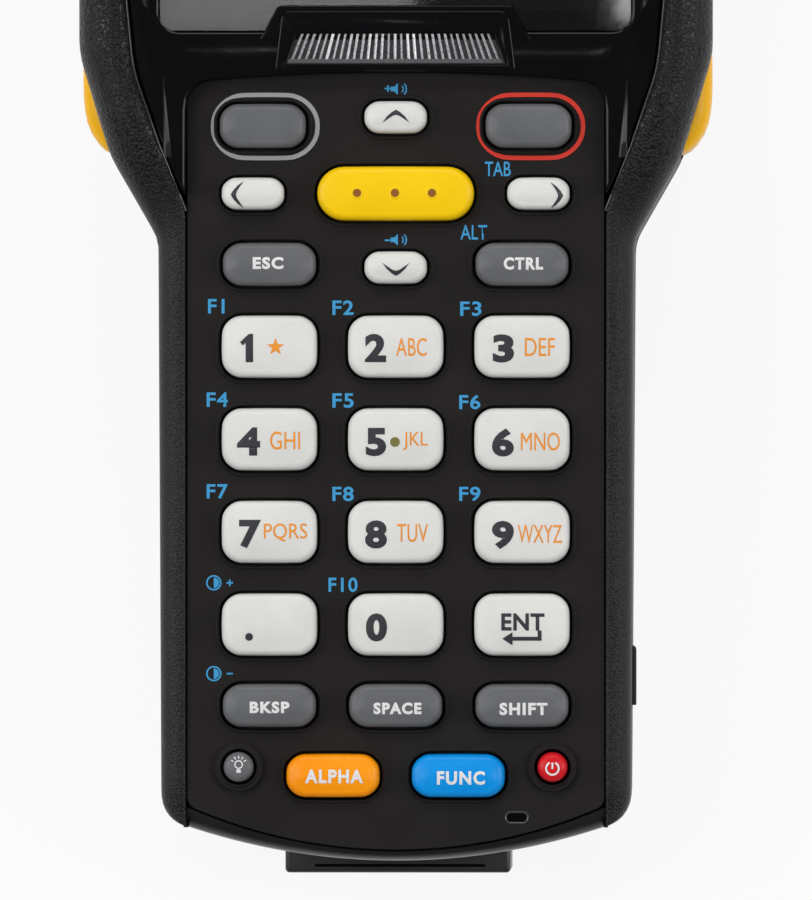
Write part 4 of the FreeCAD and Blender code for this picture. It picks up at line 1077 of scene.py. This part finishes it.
def leg_fold(side, name):
    line = [(side * (28.9 + 0.03 * step), 91.3 + 0.5 * step, BEZEL_TOP - 0.02)
            for step in range(21)]
    sections = []
    for index, (x, up, z) in enumerate(line):
        wide = 0.5 * (1 - index / len(line)) + 0.05
        sections.append([((x - wide) * MM, row_y(up), z * MM),
                         ((x - wide * 0.2) * MM, row_y(up), (z + 0.16) * MM),
                         ((x + wide) * MM, row_y(up), z * MM)])
    points, faces = loft(sections, closed_ring=False)
    return new_piece(name, points, faces, SMOOTH_BLACK, "body")


for side, name in ((1, "right"), (-1, "left")):
    seam_edge(side, "seam_edge_" + name)
    leg_fold(side, "leg_fold_" + name)
print("seam edges and folds")

# %% [markdown]
# ## Dock lip
# The lip at the lower end is cut from a block: its two lower corners are
# rounded in plan, its mouth is hollowed and all edges are eased.

# %% Dock lip
def solid_box(name, low, high, material, body):
    """A primitive cube at its size and place, from corners in millimetres."""
    bpy.ops.object.select_all(action="DESELECT")
    middle = [(a + b) / 2 * MM for a, b in zip(low, high)]
    bpy.ops.mesh.primitive_cube_add(size=1, location=middle)
    piece = bpy.context.active_object
    piece.name = name
    piece.scale = [(b - a) * MM for a, b in zip(low, high)]
    bpy.ops.object.transform_apply(location=True, rotation=True, scale=True)
    piece.data.materials.append(material)
    if body:
        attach(piece, body)
    return piece


def apply_modifier(piece, kind, **settings):
    bpy.ops.object.select_all(action="DESELECT")
    piece.select_set(True)
    bpy.context.view_layer.objects.active = piece
    modifier = piece.modifiers.new(kind.lower(), kind)
    for setting, value in settings.items():
        setattr(modifier, setting, value)
    bpy.ops.object.modifier_apply(modifier=modifier.name)


def dock_lip():
    low, high = ([value / MM for value in corner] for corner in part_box("dock_shroud"))
    low = (low[0] + 0.1, low[1] + 0.05, low[2] + 0.1)
    high = (high[0] - 0.1, high[1] - 0.1, high[2] - 0.1)
    lip = solid_box("dock_lip", low, high, DOCK, None)
    bpy.ops.object.mode_set(mode="EDIT")
    work = bmesh.from_edit_mesh(lip.data)
    for edge in work.edges:
        first, last = (vertex.co for vertex in edge.verts)
        upright = abs(first.z - last.z) > 1 * MM
        edge.select = upright and first.y < (low[1] + 1) * MM
    bmesh.update_edit_mesh(lip.data)
    bpy.ops.mesh.bevel(offset=2.9 * MM, segments=8)
    bpy.ops.object.mode_set(mode="OBJECT")
    cutter = solid_box("mouth_cutter", (-11.1, low[1] - 1, 15), (11.1, high[1] - 1, 25), DOCK, None)
    apply_modifier(lip, "BOOLEAN", operation="DIFFERENCE", object=cutter)
    bpy.data.objects.remove(cutter)
    apply_modifier(lip, "BEVEL", width=0.5 * MM, segments=3, limit_method="ANGLE",
                   angle_limit=math.radians(50))
    bpy.ops.object.shade_smooth_by_angle(angle=math.radians(35))
    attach(lip, "body")
    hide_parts("dock_shroud")
    top = high[2]
    # Painted shade: a thin near-black strip on the lip's top stands for a groove.
    solid_box("dock_groove_shade", (-10.6, low[1] + 0.75, top - 0.3), (11.2, low[1] + 1.1, top + 0.03),
              SHADE_BLACK, "body")


dock_lip()
print("dock lip cut")

# %% [markdown]
# ## Grip of the scan head and the cover
# The round scan head is turned by hand, so short upright ribs stand along its
# sides. A frame stands round the red window, and the battery cover carries
# raised bars for the fingers.

# %% Grip details
def turret_details():
    centre_up = 164.4
    for number in range(26):
        way = 1 if number < 13 else -1
        angle = math.radians(-48 + 5.2 * (number % 13))
        x, up = 31 * math.cos(angle) * way, centre_up + 31 * math.sin(angle)
        place = [(x + 0.35 * math.cos(turn), up + 0.35 * math.sin(turn))
                 for turn in (math.pi * part / 6 for part in range(12))]
        inward = 0.2
        place = [(px - inward * math.cos(angle) * way, pu - inward * math.sin(angle))
                 for px, pu in place]
        rings = [[(px * MM, row_y(pu), z * MM) for px, pu in place] for z in (4, 4.3, 16.7, 17)]
        points, faces = loft(rings, crown=None)
        faces += [tuple(range(12)), tuple(range(36, 48))]
        new_piece(f"turret_rib_{number}", points, faces, RUBBER, "turret")
    face_y = (centre_up + 26) - 0.02
    for name, low, high in (("low", (-16.2, 2.6), (16.2, 3.6)), ("high", (-16.2, 18.8), (16.2, 19.8)),
                            ("left", (-16.2, 3.6), (-15.2, 18.8)),
                            ("right", (15.2, 3.6), (16.2, 18.8))):
        solid_box("scan_frame_" + name, (low[0], face_y - HALF_LONG - 0.6, low[1]),
                  (high[0], face_y - HALF_LONG - 0.02, high[1]), SMOOTH_BLACK, "turret")


def cover_bars():
    for number in range(7):
        up = 46 + 2.4 * number
        bar = solid_box(f"cover_bar_{number}", (-12, up - HALF_LONG - 0.5, 7.6),
                        (12, up - HALF_LONG + 0.5, 8.4), REAR, None)
        apply_modifier(bar, "BEVEL", width=0.35 * MM, segments=3)
        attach(bar, "cover")


turret_details()
cover_bars()
print("grip details")

# %% [markdown]
# ## Studio
# A pale table and a white room, with large soft lamps. Seen directly or in a
# reflection the room is plain white, so the cut-out look of the photograph
# comes from the backdrop and not from more light.

# %% Room and lamps
GLOW_SHARE = 0.88


def room_material(name, strength):
    material = bpy.data.materials.new(name)
    material.use_nodes = True
    nodes, links = material.node_tree.nodes, material.node_tree.links
    path = nodes.new("ShaderNodeLightPath")
    share = path.outputs["Is Camera Ray"]
    for ray in ("Is Glossy Ray", "Is Transmission Ray"):
        either = nodes.new("ShaderNodeMath")
        either.operation = "MAXIMUM"
        links.new(share, either.inputs[0])
        links.new(path.outputs[ray], either.inputs[1])
        share = either.outputs[0]
    part = nodes.new("ShaderNodeMath")
    part.operation = "MULTIPLY"
    part.inputs[1].default_value = GLOW_SHARE
    links.new(share, part.inputs[0])
    glow = nodes.new("ShaderNodeEmission")
    glow.inputs["Color"].default_value = (1, 1, 1, 1)
    glow.inputs["Strength"].default_value = strength
    mixer = nodes.new("ShaderNodeMixShader")
    body = nodes["Principled BSDF"]
    body.inputs["Base Color"].default_value = (0.95, 0.95, 0.95, 1)
    body.inputs["Roughness"].default_value = 0.9
    links.new(part.outputs[0], mixer.inputs[0])
    links.new(body.outputs[0], mixer.inputs[1])
    links.new(glow.outputs[0], mixer.inputs[2])
    links.new(mixer.outputs[0], nodes["Material Output"].inputs[0])
    return material


bpy.ops.object.select_all(action="DESELECT")
bpy.ops.mesh.primitive_plane_add(size=6, location=(0, 0, -0.0004))
floor = bpy.context.active_object
floor.name = "floor"
floor.data.materials.append(room_material("pale_floor", 1.0))
world = bpy.data.worlds.new("room")
bpy.context.scene.world = world
world.use_nodes = True
world.node_tree.nodes["Background"].inputs["Color"].default_value = (0.93, 0.95, 1, 1)
world.node_tree.nodes["Background"].inputs["Strength"].default_value = 0.22


def lamp(name, place, size, watts, aim=(0, -0.03, 0.03)):
    data = bpy.data.lights.new(name, "AREA")
    data.shape = "RECTANGLE"
    data.size, data.size_y = size
    data.energy = watts
    light = bpy.data.objects.new(name, data)
    bpy.context.scene.collection.objects.link(light)
    light.location = place
    light.rotation_euler = (Vector(aim) - Vector(place)).to_track_quat("-Z", "Y").to_euler()


lamp("soft_left", (-0.75, 0.1, 0.75), (0.5, 0.9), 6.0)
lamp("soft_right", (0.8, 0.0, 0.7), (0.4, 0.9), 5.0)
lamp("soft_top", (0.0, 0.85, 0.8), (0.9, 0.4), 4.6)
lamp("glass_streak", (-0.046, 0.056, 1.04), (0.05, 0.036), 0.03, (-0.046, 0.056, 0))
lamp("glass_spot", (0.0205, 0.0435, 1.04), (0.006, 0.005), 0.0016, (0.0205, 0.0435, 0))
bpy.context.scene.view_settings.view_transform = "Standard"
print("studio lit")
